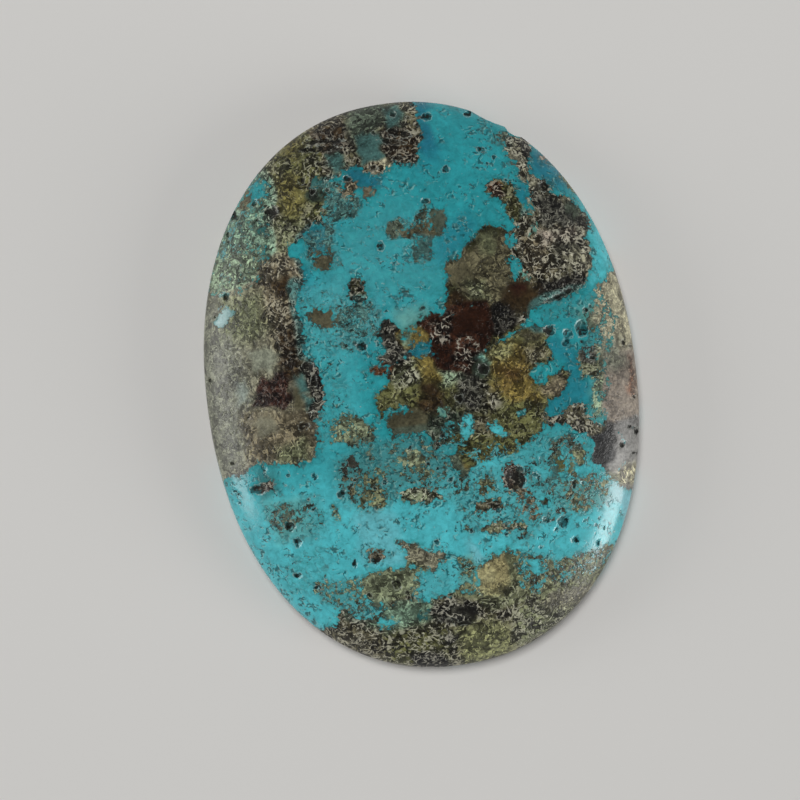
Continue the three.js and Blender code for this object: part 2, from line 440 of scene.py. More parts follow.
# %% Stretches where rock and turquoise are speckled together
SPECKLED = [
    ("mingled", "grey green", 0.55, 0.9, (-7.2, -4.4, -3, -3.4, 1, -3.6, 2.6, -5.4, 2.2, -8.0,
     -0.6, -8.2, -3.2, -7.6, -4.4, -9.0, -5.6, -8.6, -6.9, -7.4), -0.1),
    ("mingled", "grey green", 0.5, 0.9, (1.4, -6.2, 5, -6.0, 7.6, -5.2, 8.3, -4.2, 10.8, -4.6,
     11.4, -6.6, 12.4, -8.6, 12.0, -10.4, 10.0, -10.6, 9.0, -11.2, 7.2, -11.4, 6.0, -12.8,
     4.6, -12.2, 3.4, -11.2, 1.4, -11.0, 0.8, -8.6), -0.12),
    ("mingled", "mint rock", 0.6, 0.6, (4.8, -12.8, 8, -13.2, 12.0, -12.6, 13.0, -13.6, 10, -17.0,
     6, -16.5, 5, -15), -0.02),
    ("mingled", "grey green", 0.5, 0.6, (-12.6, -6.6, -8.0, -6.6, -7.6, -9.6, -11.4, -10.0),
     -0.26),
    ("mingled", "teal rock", 0.4, 0.8, (-8.2, 8.6, -5.4, 7.8, -2.4, 6.6, -2.0, 4.0, -4.0, 2.4,
     -7.6, 3.0), -0.28),
    ("mingled", "grey green", 0.35, 0.7, (-8.0, 3.0, -5.6, 3.0, -4.6, 0.4, -5.4, -1.6, -7.4, -4.2,
     -8.2, -4.0), -0.3),
    ("mingled", "grey green", 0.35, 0.7, (-9.6, -9.8, -8.2, -9.4, -7.8, -13.6, -11.6, -14.0,
     -11.8, -11.0), -0.35),
    ("mingled", "grey green", 0.5, 0.5, (1.0, -5.7, 5.6, -5.2, 8.0, -4.4, 9.4, -4.6, 9.4, -6.2,
     5.0, -6.9, 1.0, -7.0), -0.36),
    ("pocket", "lower turquoise", 0.2, 0.4, (8.4, -10.6, 10.0, -10.9, 12.2, -10.6, 12.0, -12.4,
     9.2, -13.0, 7.4, -12.8, 6.9, -12.0)),
    ("pocket", "lower turquoise", 0.2, 0.3, (2.9, -4.9, 4.9, -5.7, 5.2, -6.2, 3.6, -6.4,
     2.8, -5.9)),
    ("pocket", "lower turquoise", 0.2, 0.4, (9.2, -6.9, 11.0, -7.2, 11.8, -7.9, 10.4, -8.0,
     9.0, -7.4)),
    ("pocket", "lower turquoise", 0.2, 0.4, (2.6, -11.2, 4.6, -11.3, 4.8, -12.0, 3.2, -12.3)),
]

# %% Markings of the upper end
UPPER_END = [
    ("rock", "brown grey", 0.9, 0.1, (2.25, 20.8, 2.35, 18.6, 2.5, 18.2, 2.45, 17.6, 2.3, 16.9,
     2.1, 16.4, 1.9, 16.2, 1.85, 15.6, 0.6, 15.55, 0.1, 15.6, -0.1, 15.2, -1.0, 15.05, -1.9, 15.3,
     -2.1, 15.8, -3.2, 15.8, -3.7, 15.2, -4.6, 14.9, -5.4, 15.4, -6.6, 16.0, -8.5, 20.8)),
    ("stain", "dark brown", 0.82, 0.5, (-6.3, 18.6, -2.9, 19.3, -2.4, 17.6, -3.0, 16.8,
     -6.4, 16.6)),
    ("stain", "grey green", 0.7, 0.5, (-2.6, 17.6, -2.8, 19.4, -1.4, 20.6, 0.2, 20.4, 0.1, 18.4,
     -1.2, 17.9)),
    ("stain", "dark brown", 0.85, 0.25, (0, 18.2, 1.2, 18.3, 2.0, 17.4, 2.0, 16.2, 1.7, 15.7,
     0.1, 15.6, -0.4, 16.5, -0.5, 17.3)),
    ("stain", "teal rock", 0.25, 0.25, (-2.1, 17.9, -1.2, 18.0, -0.5, 17.8, -0.2, 17.3, -0.7, 16.9,
     -0.4, 16.3, -0.9, 16.0, -1.9, 16.0, -2.2, 16.8)),
    ("stain", "teal rock", 0.35, 0.3, (0.0, 19.7, 1.1, 19.6, 1.4, 18.9, 1.0, 18.3, 0.2, 18.3)),
    ("stain", "teal rock", 0.35, 0.3, (-4.5, 17.0, -3.4, 16.8, -3.0, 16.1, -3.9, 15.3,
     -4.3, 16.0)),
    ("stain", "grain beige", 1.0, 0.15, (-2.1, 15.7, -1.2, 16.0, -0.2, 16.0, 0.1, 15.4, -0.9, 15.0,
     -1.8, 15.1)),
    ("rock", "pale rock and rim sheen", 0.6, 0.08, (-0.5, 15.85, -0.3, 15.95, 0.0, 15.4, -0.2, 15.3)),
    ("mingled", "teal rock", 0.75, 0.3, (-5.8, 15.2, -4.6, 14.9, -3.7, 14.9, -2.8, 14.6,
     -2.4, 13.6, -2.3, 12.8, -3.0, 12.2, -4.4, 12.1, -4.7, 10.4, -5.3, 10.4, -5.3, 12.2,
     -5.8, 13.4), 0.15),
    ("rock", "beige", 0.8, 0.1, (-3.7, 14.5, -3.3, 14.9, -2.6, 14.7, -2.5, 14.1, -3.1, 13.8,
     -3.5, 14.0)),
    ("rock", "grain beige", 0.35, 0.1, (-2.45, 14.45, -1.2, 14.2, -1.5, 13.75, -2.1, 13.35,
     -2.3, 13.6)),
    ("rock", "olive", 0.85, 0.15, (-9.4, 16.2, -8.8, 15.6, -8.7, 14.6, -9.2, 14.1, -9.9, 13.6,
     -9.7, 12.9, -9.1, 12.7, -9.2, 12.0, -9.8, 11.6, -9.9, 10.4, -8.9, 9.4, -8.1, 10.2, -8.0, 11.1,
     -6.8, 11.2, -6.4, 11.8, -5.9, 12.2, -5.3, 12.3, -5.2, 14, -5.8, 14.6, -5.3, 15.6, -5.0, 16.8,
     -6.3, 19.4, -9.6, 17.6)),
    ("stain", "moss gold", 0.7, 0.6, (-8.2, 15.9, -6.4, 16.0, -6.2, 13.9, -7.0, 12.9, -8.2, 13.3)),
    ("stain", "moss gold", 0.7, 0.5, (-7.8, 17.2, -6.6, 16.9, -5.9, 18.2, -7.0, 18.8)),
    ("stain", "dark brown", 1.0, 0.25, (-9.2, 14.3, -8.6, 14.2, -8.3, 13.2, -9.0, 12.7,
     -9.3, 13.3)),
    ("stain", "khaki", 0.8, 0.6, (-9.9, 12.4, -6.6, 12.6, -6.4, 11.4, -8.1, 10.9, -8.6, 9.8,
     -10.0, 9.8)),
    ("rock", "dark green", 0.6, 0.12, (-6.0, 14.3, -5.4, 14.45, -4.8, 14.3, -5.0, 14.0,
     -5.8, 13.95)),
    ("pocket", "teal", 0.6, 0.2, (-5.7, 15.2, -5.1, 15.2, -5.0, 14.6, -5.6, 14.5)),
    ("mingled", "soft mint", 0.5, 0.4, (-14.2, 8.4, -13.4, 11.2, -12.0, 13.4, -10.5, 15.3,
     -9.4, 16.4, -8.8, 15.5, -8.8, 14.5, -9.4, 13.6, -9.4, 12.6, -9.2, 11.6, -9.5, 10.2, -9.8, 9.0,
     -11.0, 8.4, -12.4, 8.2), 0.12),
    ("pocket", "turquoise", 0.3, 0.2, (-10.1, 15.4, -9.3, 15.8, -9.1, 14.9, -9.5, 14.3,
     -10.1, 14.5)),
    ("pocket", "teal", 0.0, 0.2, (-9.95, 12.75, -9.25, 12.6, -9.3, 12.05, -9.95, 12.1)),
    ("mingled", "mint rock", 0.5, 0.4, (-14.0, 8.2, -13.2, 10.6, -10.3, 10.8, -10.1, 9.2,
     -10.9, 8.4, -12.6, 8.2), 0.25),
    ("rock", "brown grey", 0.5, 0.1, (-11.0, 14.2, -10.4, 14.95, -10.05, 14.85, -10.2, 14.35,
     -10.7, 14.0)),
    ("mingled", "teal rock", 0.5, 0.3, (-7.0, 11.2, -6.2, 11.9, -5.5, 11.85, -5.0, 11.0,
     -5.0, 10.3, -6.8, 10.2), -0.05),
    ("pocket", "turquoise", 0.2, 0.2, (-8.0, 11.0, -7.4, 11.15, -6.8, 10.9, -6.7, 10.4,
     -7.8, 10.3)),
]

# %% Markings of the left flank
LEFT_FLANK = [
    ("rock", "grey beige", 0.55, 0.1, (-8.1, 10.3, -7.2, 10.0, -7.1, 9.2, -7.2, 8.4, -7.5, 7.4,
     -7.8, 6.8, -7.9, 6.2, -7.6, 5.7, -7.3, 5.3, -7.7, 4.9, -7.9, 4.0, -8.0, 3.3, -7.5, 2.7,
     -7.2, 2.2, -7.0, 1.5, -6.8, 1.0, -6.9, 0.2, -7.1, -0.4, -7.4, -1.0, -7.7, -1.7, -7.75, -2.4,
     -7.9, -3.3, -8.2, -4.0, -8.7, -4.35, -9.5, -4.3, -10.5, -4.15, -11.5, -4.0, -12.3, -3.9,
     -13.0, -4.05, -13.3, -4.5, -13.7, -4.6, -14.9, -4.6, -16.8, -4.6, -16.8, 9.4, -14.2, 8.6,
     -13.2, 8.1, -11.6, 8.3, -10.4, 8.7, -10.1, 9.4, -9.7, 10.0, -8.9, 10.4)),
    ("stain", "flank grey", 0.5, 0.9, (-16.8, 9.0, -13.4, 8.0, -12.2, 4.4, -12.4, 0.6, -13.2, -4.2,
     -16.8, -5)),
    ("stain", "grain beige", 0.85, 0.6, (-9.9, 10.2, -7.0, 10.2, -7.0, 7.5, -7.8, 5, -7.6, 2.6,
     -9.6, 2.5, -10.0, 5, -10.8, 7.0, -10.3, 8.5)),
    ("stain", "dark brown", 0.6, 0.35, (-9.6, 8.6, -8.4, 8.9, -7.8, 8.2, -8.0, 7.4, -9.2, 7.4)),
    ("stain", "khaki", 0.6, 0.7, (-13.4, 8.0, -10.4, 8.0, -10.2, 5.4, -11.6, 4.6, -13.6, 5.2)),
    ("stain", "dark brown", 0.8, 0.3, (-9.4, 5.1, -8.4, 5.2, -7.9, 3.4, -8.2, 2.4, -9.4, 2.0,
     -9.8, 3.0)),
    ("stain", "grain beige", 0.6, 0.6, (-12.9, -0.2, -9.0, -0.4, -7.6, -0.2, -7.8, -2.6,
     -8.4, -4.2, -12.6, -3.9)),
    ("stain", "maroon", 0.75, 0.14, (-12.0, 0.0, -11.6, 0.7, -11.6, 1.5, -11.3, 2.0, -10.6, 2.0,
     -10.0, 2.2, -9.4, 2.3, -9.0, 2.0, -9.2, 0.9, -9.1, 0.2, -9.6, -0.3, -10.1, -0.2, -10.6, 0.05,
     -11.2, 0.0)),
    ("stain", "dark brown", 0.6, 0.3, (-9.6, 2.4, -8.2, 2.4, -8.5, 1.6, -8.9, 1.4, -9.2, 1.6)),
    ("stain", "pale grey", 0.15, 0.35, (-11.7, 4.0, -10.2, 4.0, -9.8, 3.4, -10.2, 2.6,
     -11.5, 2.6)),
    ("stain", "blue grey", 0.2, 0.3, (-12.9, 1.9, -12.2, 1.8, -12.1, 0.5, -12.8, 0.4)),
    ("stain", "grey beige", 0.1, 0.3, (-12.4, -0.9, -10.6, -0.7, -10.4, -1.8, -11.8, -2.1)),
    ("stain", "brown grey", 0.1, 0.2, (-9.1, 0.9, -8.5, 1.0, -8.2, 0.2, -8.6, -0.5, -9.1, -0.4)),
    ("stain", "teal rock", 0.15, 0.25, (-8.7, 1.8, -8.1, 1.9, -7.8, 1.2, -8.0, 0.6, -8.6, 0.5)),
    ("stain", "teal rock", 0.3, 0.2, (-8.4, 0.4, -7.6, 0.2, -7.3, -0.5, -8.2, -0.6)),
    ("stain", "khaki", 0.7, 0.5, (-10.8, -3.0, -8.6, -2.6, -8.4, -4.3, -10.6, -4.2)),
    ("pocket", "gem", 0.0, 0.08, (-13.3, 7.5, -12.8, 7.4, -12.55, 7.0, -12.35, 6.75, -12.7, 6.3,
     -13.3, 6.1, -13.75, 6.2, -13.7, 6.6, -13.25, 7.0)),
    ("rock", "black", 0.9, 0.12, (-8.2, 2.2, -7.8, 2.5, -7.3, 2.8, -7.1, 2.3, -7.2, 1.8, -7.0, 1.0,
     -7.4, 0.6, -7.8, 1.0, -7.65, 1.6, -7.9, 2.0)),
    ("rock", "charcoal", 0.9, 0.12, (-7.6, 0.6, -7.0, 0.5, -6.9, -0.1, -7.3, -0.9, -7.9, -1.2,
     -7.9, -0.6, -7.3, -0.1)),
]

# %% Markings of the upper middle and the upper right
UPPER_RIGHT = [
    ("mingled", "teal rock", 0.5, 0.4, (-7.2, 10.3, -4.3, 10.5, -4.2, 8.9, -5.2, 8.7, -6.8, 9.0),
     -0.1),
    ("rock", "dark olive", 0.9, 0.1, (-4.2, 7.7, -3.9, 7.9, -3.2, 8.0, -3.0, 7.6, -3.0, 6.9,
     -2.9, 6.4, -3.4, 6.2, -3.9, 6.3, -4.1, 6.7)),
    ("mingled", "teal rock", 0.45, 0.5, (-7.8, 8.0, -5.4, 7.4, -5.0, 3.4, -7.6, 3.4), -0.32),
    ("mingled", "teal rock", 0.7, 0.4, (-5.4, 6.4, -2.6, 6.2, -2.0, 5.6, -2.2, 4.6, -2.6, 3.6,
     -3.2, 3.9, -3.9, 3.5, -4.5, 3.0, -5.3, 3.4), 0.0),
    ("rock", "brown grey", 0.3, 0.12, (-6.3, 10.1, -5.2, 10.2, -5.0, 9.7, -5.1, 9.0, -6.1, 9.05,
     -6.35, 9.4)),
    ("rock", "brown grey", 0.2, 0.1, (-7.1, 5.9, -6.8, 6.2, -5.6, 6.15, -5.3, 5.9, -5.45, 5.1,
     -6.0, 4.85, -6.5, 5.2, -6.9, 5.5)),
    ("mingled", "grey green", 0.75, 0.2, (-0.9, 11.7, 0.1, 12.0, 0.9, 11.4, 1.4, 12.2, 2.6, 12.2,
     3.2, 11.9, 3.5, 11.4, 3.1, 10.7, 2.9, 10.2, 2.2, 10.0, 2.0, 9.4, 2.0, 8.6, 1.3, 8.3, 0.6, 8.4,
     0.5, 9.3, 0.7, 10.1, 0.2, 10.3, -0.9, 10.3, -1.1, 10.9), 0.12),
    ("rock", "grey green", 0.15, 0.15, (2.6, 12.0, 3.2, 11.9, 3.3, 11.2, 2.9, 10.4, 2.4, 10.2,
     2.3, 11.2)),
    ("rock", "brown grey", 0.5, 0.15, (0.3, 10.9, 2.2, 11.0, 2.2, 10.5, 0.4, 10.5)),
    ("rock", "teal rock", 0.4, 0.15, (1.0, 10.2, 2.0, 10.0, 2.0, 9.0, 1.5, 8.7, 1.0, 9.0)),
    ("mingled", "dark green", 0.6, 0.15, (1.5, 12.2, 1.9, 12.7, 2.4, 12.7, 2.3, 12.2), 0.1),
    ("mingled", "dark green", 0.35, 0.3, (-1.0, 6.9, 0.4, 7.0, 0.5, 6.3, -0.9, 6.2), -0.12),
    ("mingled", "teal rock", 0.45, 0.3, (0.4, 5.6, 1.5, 5.7, 1.5, 5.1, 0.5, 5.0), -0.1),
    ("rock", "grey beige", 0.95, 0.1, (7.8, 16.7, 8.1, 15.6, 8.3, 14.8, 8.8, 14.4, 8.8, 13.3,
     9.3, 13.1, 9.4, 12.6, 9.3, 12.0, 9.5, 11.3, 9.4, 10.9, 11.4, 10.6, 12.4, 11.3, 11.5, 11.9,
     10.8, 12.3, 10.7, 12.9, 10.2, 13.2, 9.5, 13.6, 9.6, 14.2, 9.8, 14.6, 9.9, 15.0, 10.1, 16.2)),
    ("stain", "charcoal", 1.0, 0.15, (9.2, 16.2, 10.2, 16.0, 10.0, 14.8, 9.6, 14.6, 9.2, 15.3)),
    ("mingled", "grey green", 0.6, 0.2, (7.0, 16.7, 8.3, 16.8, 8.3, 15.8, 7.2, 16.0), 0.0),
    ("rock", "olive", 0.8, 0.12, (6.55, 13.35, 6.5, 12.9, 6.8, 12.4, 7.4, 12.0, 7.8, 11.8,
     7.6, 11.4, 7.6, 11.0, 8.0, 10.5, 8.0, 9.9, 9.2, 10.1, 9.4, 11.1, 8.9, 11.4, 8.5, 11.9,
     8.5, 12.6, 8.0, 13.1, 7.5, 13.3, 7.0, 13.45)),
    ("stain", "bean brown", 0.9, 0.15, (6.5, 13.5, 6.4, 12.8, 7.0, 12.2, 7.6, 12.2, 7.5, 13.4)),
    ("mingled", "teal rock", 0.5, 0.3, (9.0, 11.0, 9.6, 11.0, 9.6, 10.0, 9.0, 10.1), 0.0),
    ("rock", "pink grey", 0.4, 0.12, (10.6, 15.3, 11.0, 15.2, 11.3, 14.4, 10.9, 14.3, 10.6, 14.6)),
    ("rock", "khaki", 0.5, 0.15, (11.7, 13.1, 12.1, 13.3, 12.9, 12.3, 12.4, 12.0, 12.0, 12.4)),
    ("rock", "brown grey", 1.0, 0.1, (8.2, 10.1, 9.4, 10.9, 9.6, 12.0, 10.8, 12.1, 11.5, 11.9,
     12.2, 11.4, 12.6, 10.9, 13.1, 10.2, 13.2, 9.2, 12.9, 8.6, 13.1, 7.8, 13.0, 7.0, 12.9, 6.4,
     12.6, 5.9, 12.2, 5.3, 11.7, 4.9, 11, 4.5, 10.3, 4.35, 9.0, 4.2, 8.1, 3.9, 7.5, 3.1, 6.8, 2.8,
     6.0, 2.3, 5.2, 2.4, 4.6, 3, 5, 6, 7.2, 8.2, 7.6, 10)),
    ("stain", "charcoal", 0.8, 0.4, (9.6, 12.4, 10.9, 12.0, 12.4, 11.0, 13.3, 9.3, 11.5, 9.5,
     9.7, 9.8)),
    ("stain", "grain beige", 0.9, 0.6, (8.3, 9.4, 10.0, 9.4, 10.2, 6.6, 8.4, 6.4)),
    ("stain", "pink grey", 0.85, 0.4, (9.6, 9.4, 12.2, 9.4, 12.3, 8.8, 9.8, 8.5)),
    ("stain", "charcoal", 0.7, 0.4, (10.6, 8.6, 12.6, 8.4, 12.6, 7.6, 10.6, 7.5)),
    ("stain", "grey beige", 0.9, 0.4, (11.0, 7.9, 12.9, 8.0, 12.8, 6.4, 11.2, 6.5)),
    ("stain", "grey green", 0.3, 0.3, (11.8, 11.3, 12.4, 11.2, 12.8, 10.5, 12.3, 10.2,
     11.7, 10.5)),
    ("stain", "black", 0.78, 0.3, (8.9, 6.1, 10, 6.0, 11.2, 6.2, 12.6, 6.0, 12.2, 5.2, 11.2, 4.5,
     10.2, 4.2, 9.0, 4.1)),
    ("stain", "black", 0.77, 0.3, (5.2, 5.0, 6.4, 5.2, 7.6, 4.4, 7.2, 2.8, 6.0, 2.2, 5.0, 2.4)),
    ("rock", "drab", 0.6, 0.12, (5.5, 10.1, 4.9, 9.6, 4.3, 9.0, 3.8, 8.3, 3.2, 8.2, 2.7, 7.9,
     2.8, 7.2, 2.6, 6.4, 2.5, 5.6, 2.35, 4.9, 4, 4.7, 5.4, 4.9, 6.6, 5.6, 7.4, 6.2, 7.3, 8.0,
     7.3, 9.6, 7.6, 10.0, 6.8, 10.35, 6.2, 10.5)),
    ("stain", "dark olive", 0.4, 0.25, (4.2, 9.2, 5.5, 10.4, 6.7, 10.5, 7.5, 9.9, 6.3, 9.7,
     5.4, 9.4, 4.8, 8.8)),
    ("stain", "drab", 0.1, 0.3, (2.7, 7.9, 3.9, 8.1, 4.6, 7.6, 4.3, 6.9, 3.1, 6.9)),
    ("stain", "dark olive", 0.7, 0.4, (2.3, 6.8, 3.3, 6.9, 3.7, 5.9, 3.4, 4.8, 2.3, 4.9)),
    ("stain", "khaki", 0.35, 0.4, (5.3, 9.9, 6.4, 9.9, 6.5, 8.5, 5.6, 8.4)),
    ("stain", "khaki", 0.8, 0.4, (4.0, 6.8, 5.3, 6.6, 5.4, 5.2, 4.2, 5.3)),
    ("stain", "dark brown", 0.25, 0.4, (6.5, 5.5, 7.2, 6.2, 8.3, 6.2, 9.1, 5.7, 9.1, 4.4, 8.2, 3.8,
     7.2, 4.4, 6.5, 5.0)),
    ("stain", "maroon", 0.1, 0.3, (7.1, 6.1, 8.2, 6.0, 8.2, 5.5, 7.3, 5.3)),
    ("pocket", "turquoise", 0.3, 0.1, (7.8, 9.95, 8.1, 9.75, 8.0, 9.1, 7.8, 8.6, 7.5, 8.55,
     7.4, 9.2)),
    ("pocket", "turquoise", 0.3, 0.1, (7.5, 8.1, 8.15, 8.0, 8.1, 7.0, 7.9, 6.5, 7.6, 6.2, 7.3, 6.4,
     7.3, 7.3)),
    ("pocket", "pale mint", 0.5, 0.12, (8.15, 6.75, 8.45, 6.7, 8.5, 6.2, 8.2, 6.1)),
    ("pocket", "pale mint", 0.6, 0.15, (9.1, 10.0, 9.5, 10.1, 9.5, 9.5, 9.0, 9.4)),
]

# %% Markings of the middle
MIDDLE = [
    ("rock", "olive", 0.75, 0.15, (-3.3, -0.2, -2.4, 0.3, -2.4, 0.9, -2.0, 1.7, -0.5, 2.1,
     0.1, 2.0, 0.9, 2.05, 1.5, 1.6, 2.6, 1, 4.4, 1.4, 5.2, 2.4, 6.2, 2.2, 7.2, 2.8, 8.1, 3.0,
     8.9, 2.9, 9.5, 2.5, 9.0, 1.9, 9.2, 1.0, 9.3, 0.4, 8.7, 0.2, 8.2, 0.1, 7.7, 0.0, 7.7, -0.6,
     8.1, -1.2, 8.7, -1.2, 8.9, -0.9, 9.7, -0.6, 10.1, -0.1, 10.2, -0.9, 10.0, -1.5, 9.5, -2.0,
     8.7, -2.2, 8.5, -2.7, 8.3, -3.4, 8.0, -4.1, 7.4, -4.7, 6.9, -5.1, 6.3, -5.4, 5.3, -5.2,
     4.9, -5.6, 4.0, -5.7, 3.0, -5.6, 2.9, -6.3, 2.0, -6.9, 1.3, -6.4, 1.0, -5.3, 2.0, -4.8,
     2.0, -4.2, 1.0, -4.1, 0.4, -4.8, -0.1, -4.2, 0, -3.6, -0.6, -3.6, -2.5, -3.2, -2.8, -2.2,
     -3.2, -1.8, -3.3, -1.2)),
    ("stain", "khaki", 0.95, 0.4, (-2.5, 0.9, -2.0, 1.8, -1.0, 2.0, -0.2, 1.8, 0.1, 1.0, 0.2, 0.2,
     -1.8, 0.1)),
    ("stain", "dark brown", 0.4, 0.5, (-0.2, 0.2, 1.2, 0.3, 1.5, -0.8, 0.9, -1.4, 0.0, -1.2)),
    ("stain", "gold", 0.4, 0.4, (0.0, 2.0, 0.9, 2.05, 1.4, 1.6, 1.7, 1.0, 1.4, 0.3, 0.2, 0.2)),
    ("stain", "dark brown", 0.6, 0.5, (-0.6, -0.9, 1.6, -1.0, 1.6, -2.4, -0.3, -2.4)),
    ("stain", "mint rock", 0.8, 0.4, (1.4, 0.9, 2.6, 1.0, 3.4, 0.5, 3.2, -0.2, 1.6, -0.2)),
    ("stain", "charcoal", 0.8, 0.5, (3.0, 0.6, 4.6, 0.4, 4.8, -2.4, 3.2, -2.6, 2.0, -1.8,
     2.4, -0.6)),
    ("stain", "brown grey", 0.9, 0.4, (4.2, -0.6, 5.2, -0.6, 5.4, -2.2, 4.3, -2.4)),
    ("stain", "ochre", 0.65, 0.6, (5.0, 2.2, 6.4, 2.2, 7.8, 1.4, 8.0, 0.4, 7.4, -1.0, 8.2, -2.2,
     6.6, -2.4, 5.2, -1.2, 4.9, 0.4)),
    ("stain", "moss", 0.75, 0.8, (4.9, 1.9, 6.6, 2.0, 6.6, 0.9, 5.0, 0.7)),
    ("stain", "ochre", 0.7, 0.5, (5.2, 1.0, 7.0, 1.2, 7.4, -0.2, 5.4, -0.4)),
    ("stain", "bean brown", 0.5, 0.8, (5.8, 0.2, 7.0, 0.1, 7.2, -0.8, 6.0, -0.9)),
    ("stain", "ochre", 0.6, 0.7, (6.0, -0.6, 7.9, -0.2, 8.0, -2.0, 6.2, -1.9)),
    ("stain", "drab", 0.8, 0.4, (7.4, 1.6, 8.9, 1.6, 9.1, 0.6, 8.0, 0.2, 7.4, 0.6)),
    ("stain", "brown grey", 0.4, 0.4, (7.2, 3.0, 9.2, 2.8, 8.8, 1.8, 7.6, 1.8)),
    ("stain", "dark green", 0.8, 0.6, (-0.4, -2.2, 2.2, -2.0, 2.4, -4.0, 0.6, -5.0, -0.6, -3.8)),
    ("stain", "brown grey", 0.8, 0.5, (2.2, -3.0, 4.4, -2.6, 4.6, -5.0, 3.4, -5.6, 2.2, -5.0)),
    ("stain", "ochre", 0.5, 0.5, (1.0, -5.4, 2.6, -5.2, 2.8, -6.2, 2.2, -7.0, 1.4, -6.6)),
    ("stain", "grain beige", 0.7, 0.3, (8.2, -1.4, 8.9, -1.0, 9.8, -0.6, 10.2, -1.2, 9.6, -2.1,
     8.4, -2.2)),
    ("rock", "dark brown", 0.5, 0.1, (2.2, 4.5, 2.4, 5.4, 3.3, 5.9, 3.8, 5.2, 5.2, 5.0, 5.3, 4.2,
     3.0, 4.2)),
    ("rock", "dark olive", 0.7, 0.1, (4.2, 3.0, 5.1, 3.1, 5.3, 2.2, 4.9, 1.6, 4.2, 1.6)),
    ("rock", "red brown", 0.8, 0.1, (1.0, 2.2, 2.0, 2.2, 3.2, 1.2, 2.6, 0.6, 1.4, 1.0)),
    ("rock", "red brown", 0.6, 0.15, (1.2, 4.95, 1.6, 4.9, 2.0, 4.6, 2.6, 4.8, 3.3, 5.0, 4.3, 5.0,
     5.2, 4.8, 5.2, 3.0, 4.6, 1.9, 4.3, 1.4, 4.0, 0.9, 3.4, 0.5, 2.8, 0.9, 1.8, 1.0, 1.3, 1.7,
     1.05, 2.0, 1.05, 2.7, 0.6, 3.0, 0.2, 3.2, 0.2, 4.1, 0.8, 4.7)),
    ("stain", "grained red brown", 1.0, 0.35, (1.0, 4.2, 1.8, 4.3, 2.6, 4.9, 3.4, 4.8, 3.2, 4.1,
     2.6, 3.9, 2.6, 2.9, 1.9, 2.6, 1.1, 3.1)),
    ("stain", "grained red brown", 1.0, 0.35, (2.5, 1.9, 3.1, 3.0, 4.0, 2.9, 4.5, 2.3, 4.2, 1.0,
     3.2, 0.5, 2.6, 0.9)),
    ("stain", "red brown", 0.05, 0.4, (2.8, 4.5, 4.9, 4.7, 4.9, 3.2, 3.9, 3.1, 2.8, 3.2)),
    ("rock", "charcoal", 0.85, 0.1, (-2.2, 4.5, -1.5, 4.75, -1.2, 4.3, -0.9, 3.7, -0.6, 3.0,
     -0.3, 2.4, -0.9, 2.0, -1.6, 1.7, -2.3, 1.9, -2.9, 1.8, -2.6, 2.3, -2.1, 2.7, -2.3, 3.2,
     -2.4, 4.1)),
    ("rock", "bean brown", 0.6, 0.15, (-2.9, 1.75, -3.7, 1.2, -3.0, 1.05, -2.4, 0.85, -2.0, 1.5)),
    ("rock", "gold", 0.35, 0.2, (-0.95, 3.7, -0.2, 3.95, 0.3, 3.6, 0.6, 3.2, 0.2, 2.9,
     -0.6, 2.95)),
    ("stain", "pale mint", 0.4, 0.3, (-1.0, 3.6, -0.4, 3.7, -0.3, 3.1, -0.8, 3.0)),
    ("pocket", "sea blue", 0.1, 0.15, (-0.1, 2.95, 0.5, 2.75, 1.0, 2.4, 0.9, 2.02, 0, 2.05,
     -0.5, 2.3)),
    ("stain", "pale mint", 0.6, 0.25, (3.8, 1.3, 4.5, 1.5, 4.9, 0.8, 4.7, 0.3, 4.4, 0.9)),
    ("rock", "dark green", 0.5, 0.15, (3.95, 0.65, 4.3, 0.85, 4.65, 0.6, 4.65, 0.2, 4.3, 0.05,
     4.0, 0.25)),
    ("pocket", "turquoise", 0.3, 0.15, (-2.8, -1.6, -2.2, -1.3, -1.2, -1.3, -1.1, -1.7,
     -1.9, -1.85, -2.7, -1.95)),
    ("rock", "brown grey", 0.15, 0.25, (-2.5, -2.2, -1.6, -1.9, -0.8, -1.9, -0.3, -2.4, -0.4, -3.1,
     -0.8, -3.45, -1.7, -3.4, -2.5, -3.1)),
    ("mingled", "pale khaki", 0.6, 0.5, (-5.2, -1.1, -4.6, -1.5, -4.0, -2.0, -3.6, -2.6,
     -3.5, -3.2, -4.0, -3.8, -4.8, -3.9, -5.6, -3.7, -6.1, -3.4, -6.8, -3.2, -6.9, -2.6,
     -6.5, -1.9, -6.1, -1.4), 0.3),
    ("pocket", "lower turquoise", 0.3, 0.15, (2.6, -2.65, 3.2, -2.6, 3.2, -3.6, 2.9, -4.3,
     2.5, -4.25, 2.3, -3.7, 2.4, -3.1)),
    ("pocket", "lower turquoise", 0.3, 0.15, (4.2, -3.4, 4.8, -3.3, 5.2, -3.8, 5.65, -4.5,
     5.1, -4.5, 4.4, -3.9)),
    ("pocket", "turquoise", 0.5, 0.2, (0.9, -4.4, 1.6, -4.15, 1.95, -4.6, 1.5, -5.05, 1.1, -5.25,
     0.7, -4.9)),
    ("pocket", "pale mint", 0.6, 0.15, (1.0, -1.75, 1.65, -1.9, 1.6, -2.35, 1.0, -2.15)),
    ("mingled", "olive", 0.6, 0.3, (6.2, -2.6, 7.2, -2.6, 7.1, -3.4, 6.3, -3.4), -0.05),
    ("mingled", "dark green", 0.7, 0.4, (0.8, -2.9, 2.2, -2.8, 2.2, -4.4, 0.6, -4.4), 0.05),
    ("mingled", "olive", 0.7, 0.4, (2.0, -4.4, 4.4, -4.6, 6.2, -4.6, 6.0, -5.6, 3.0, -5.9,
     1.8, -5.0), 0.1),
]

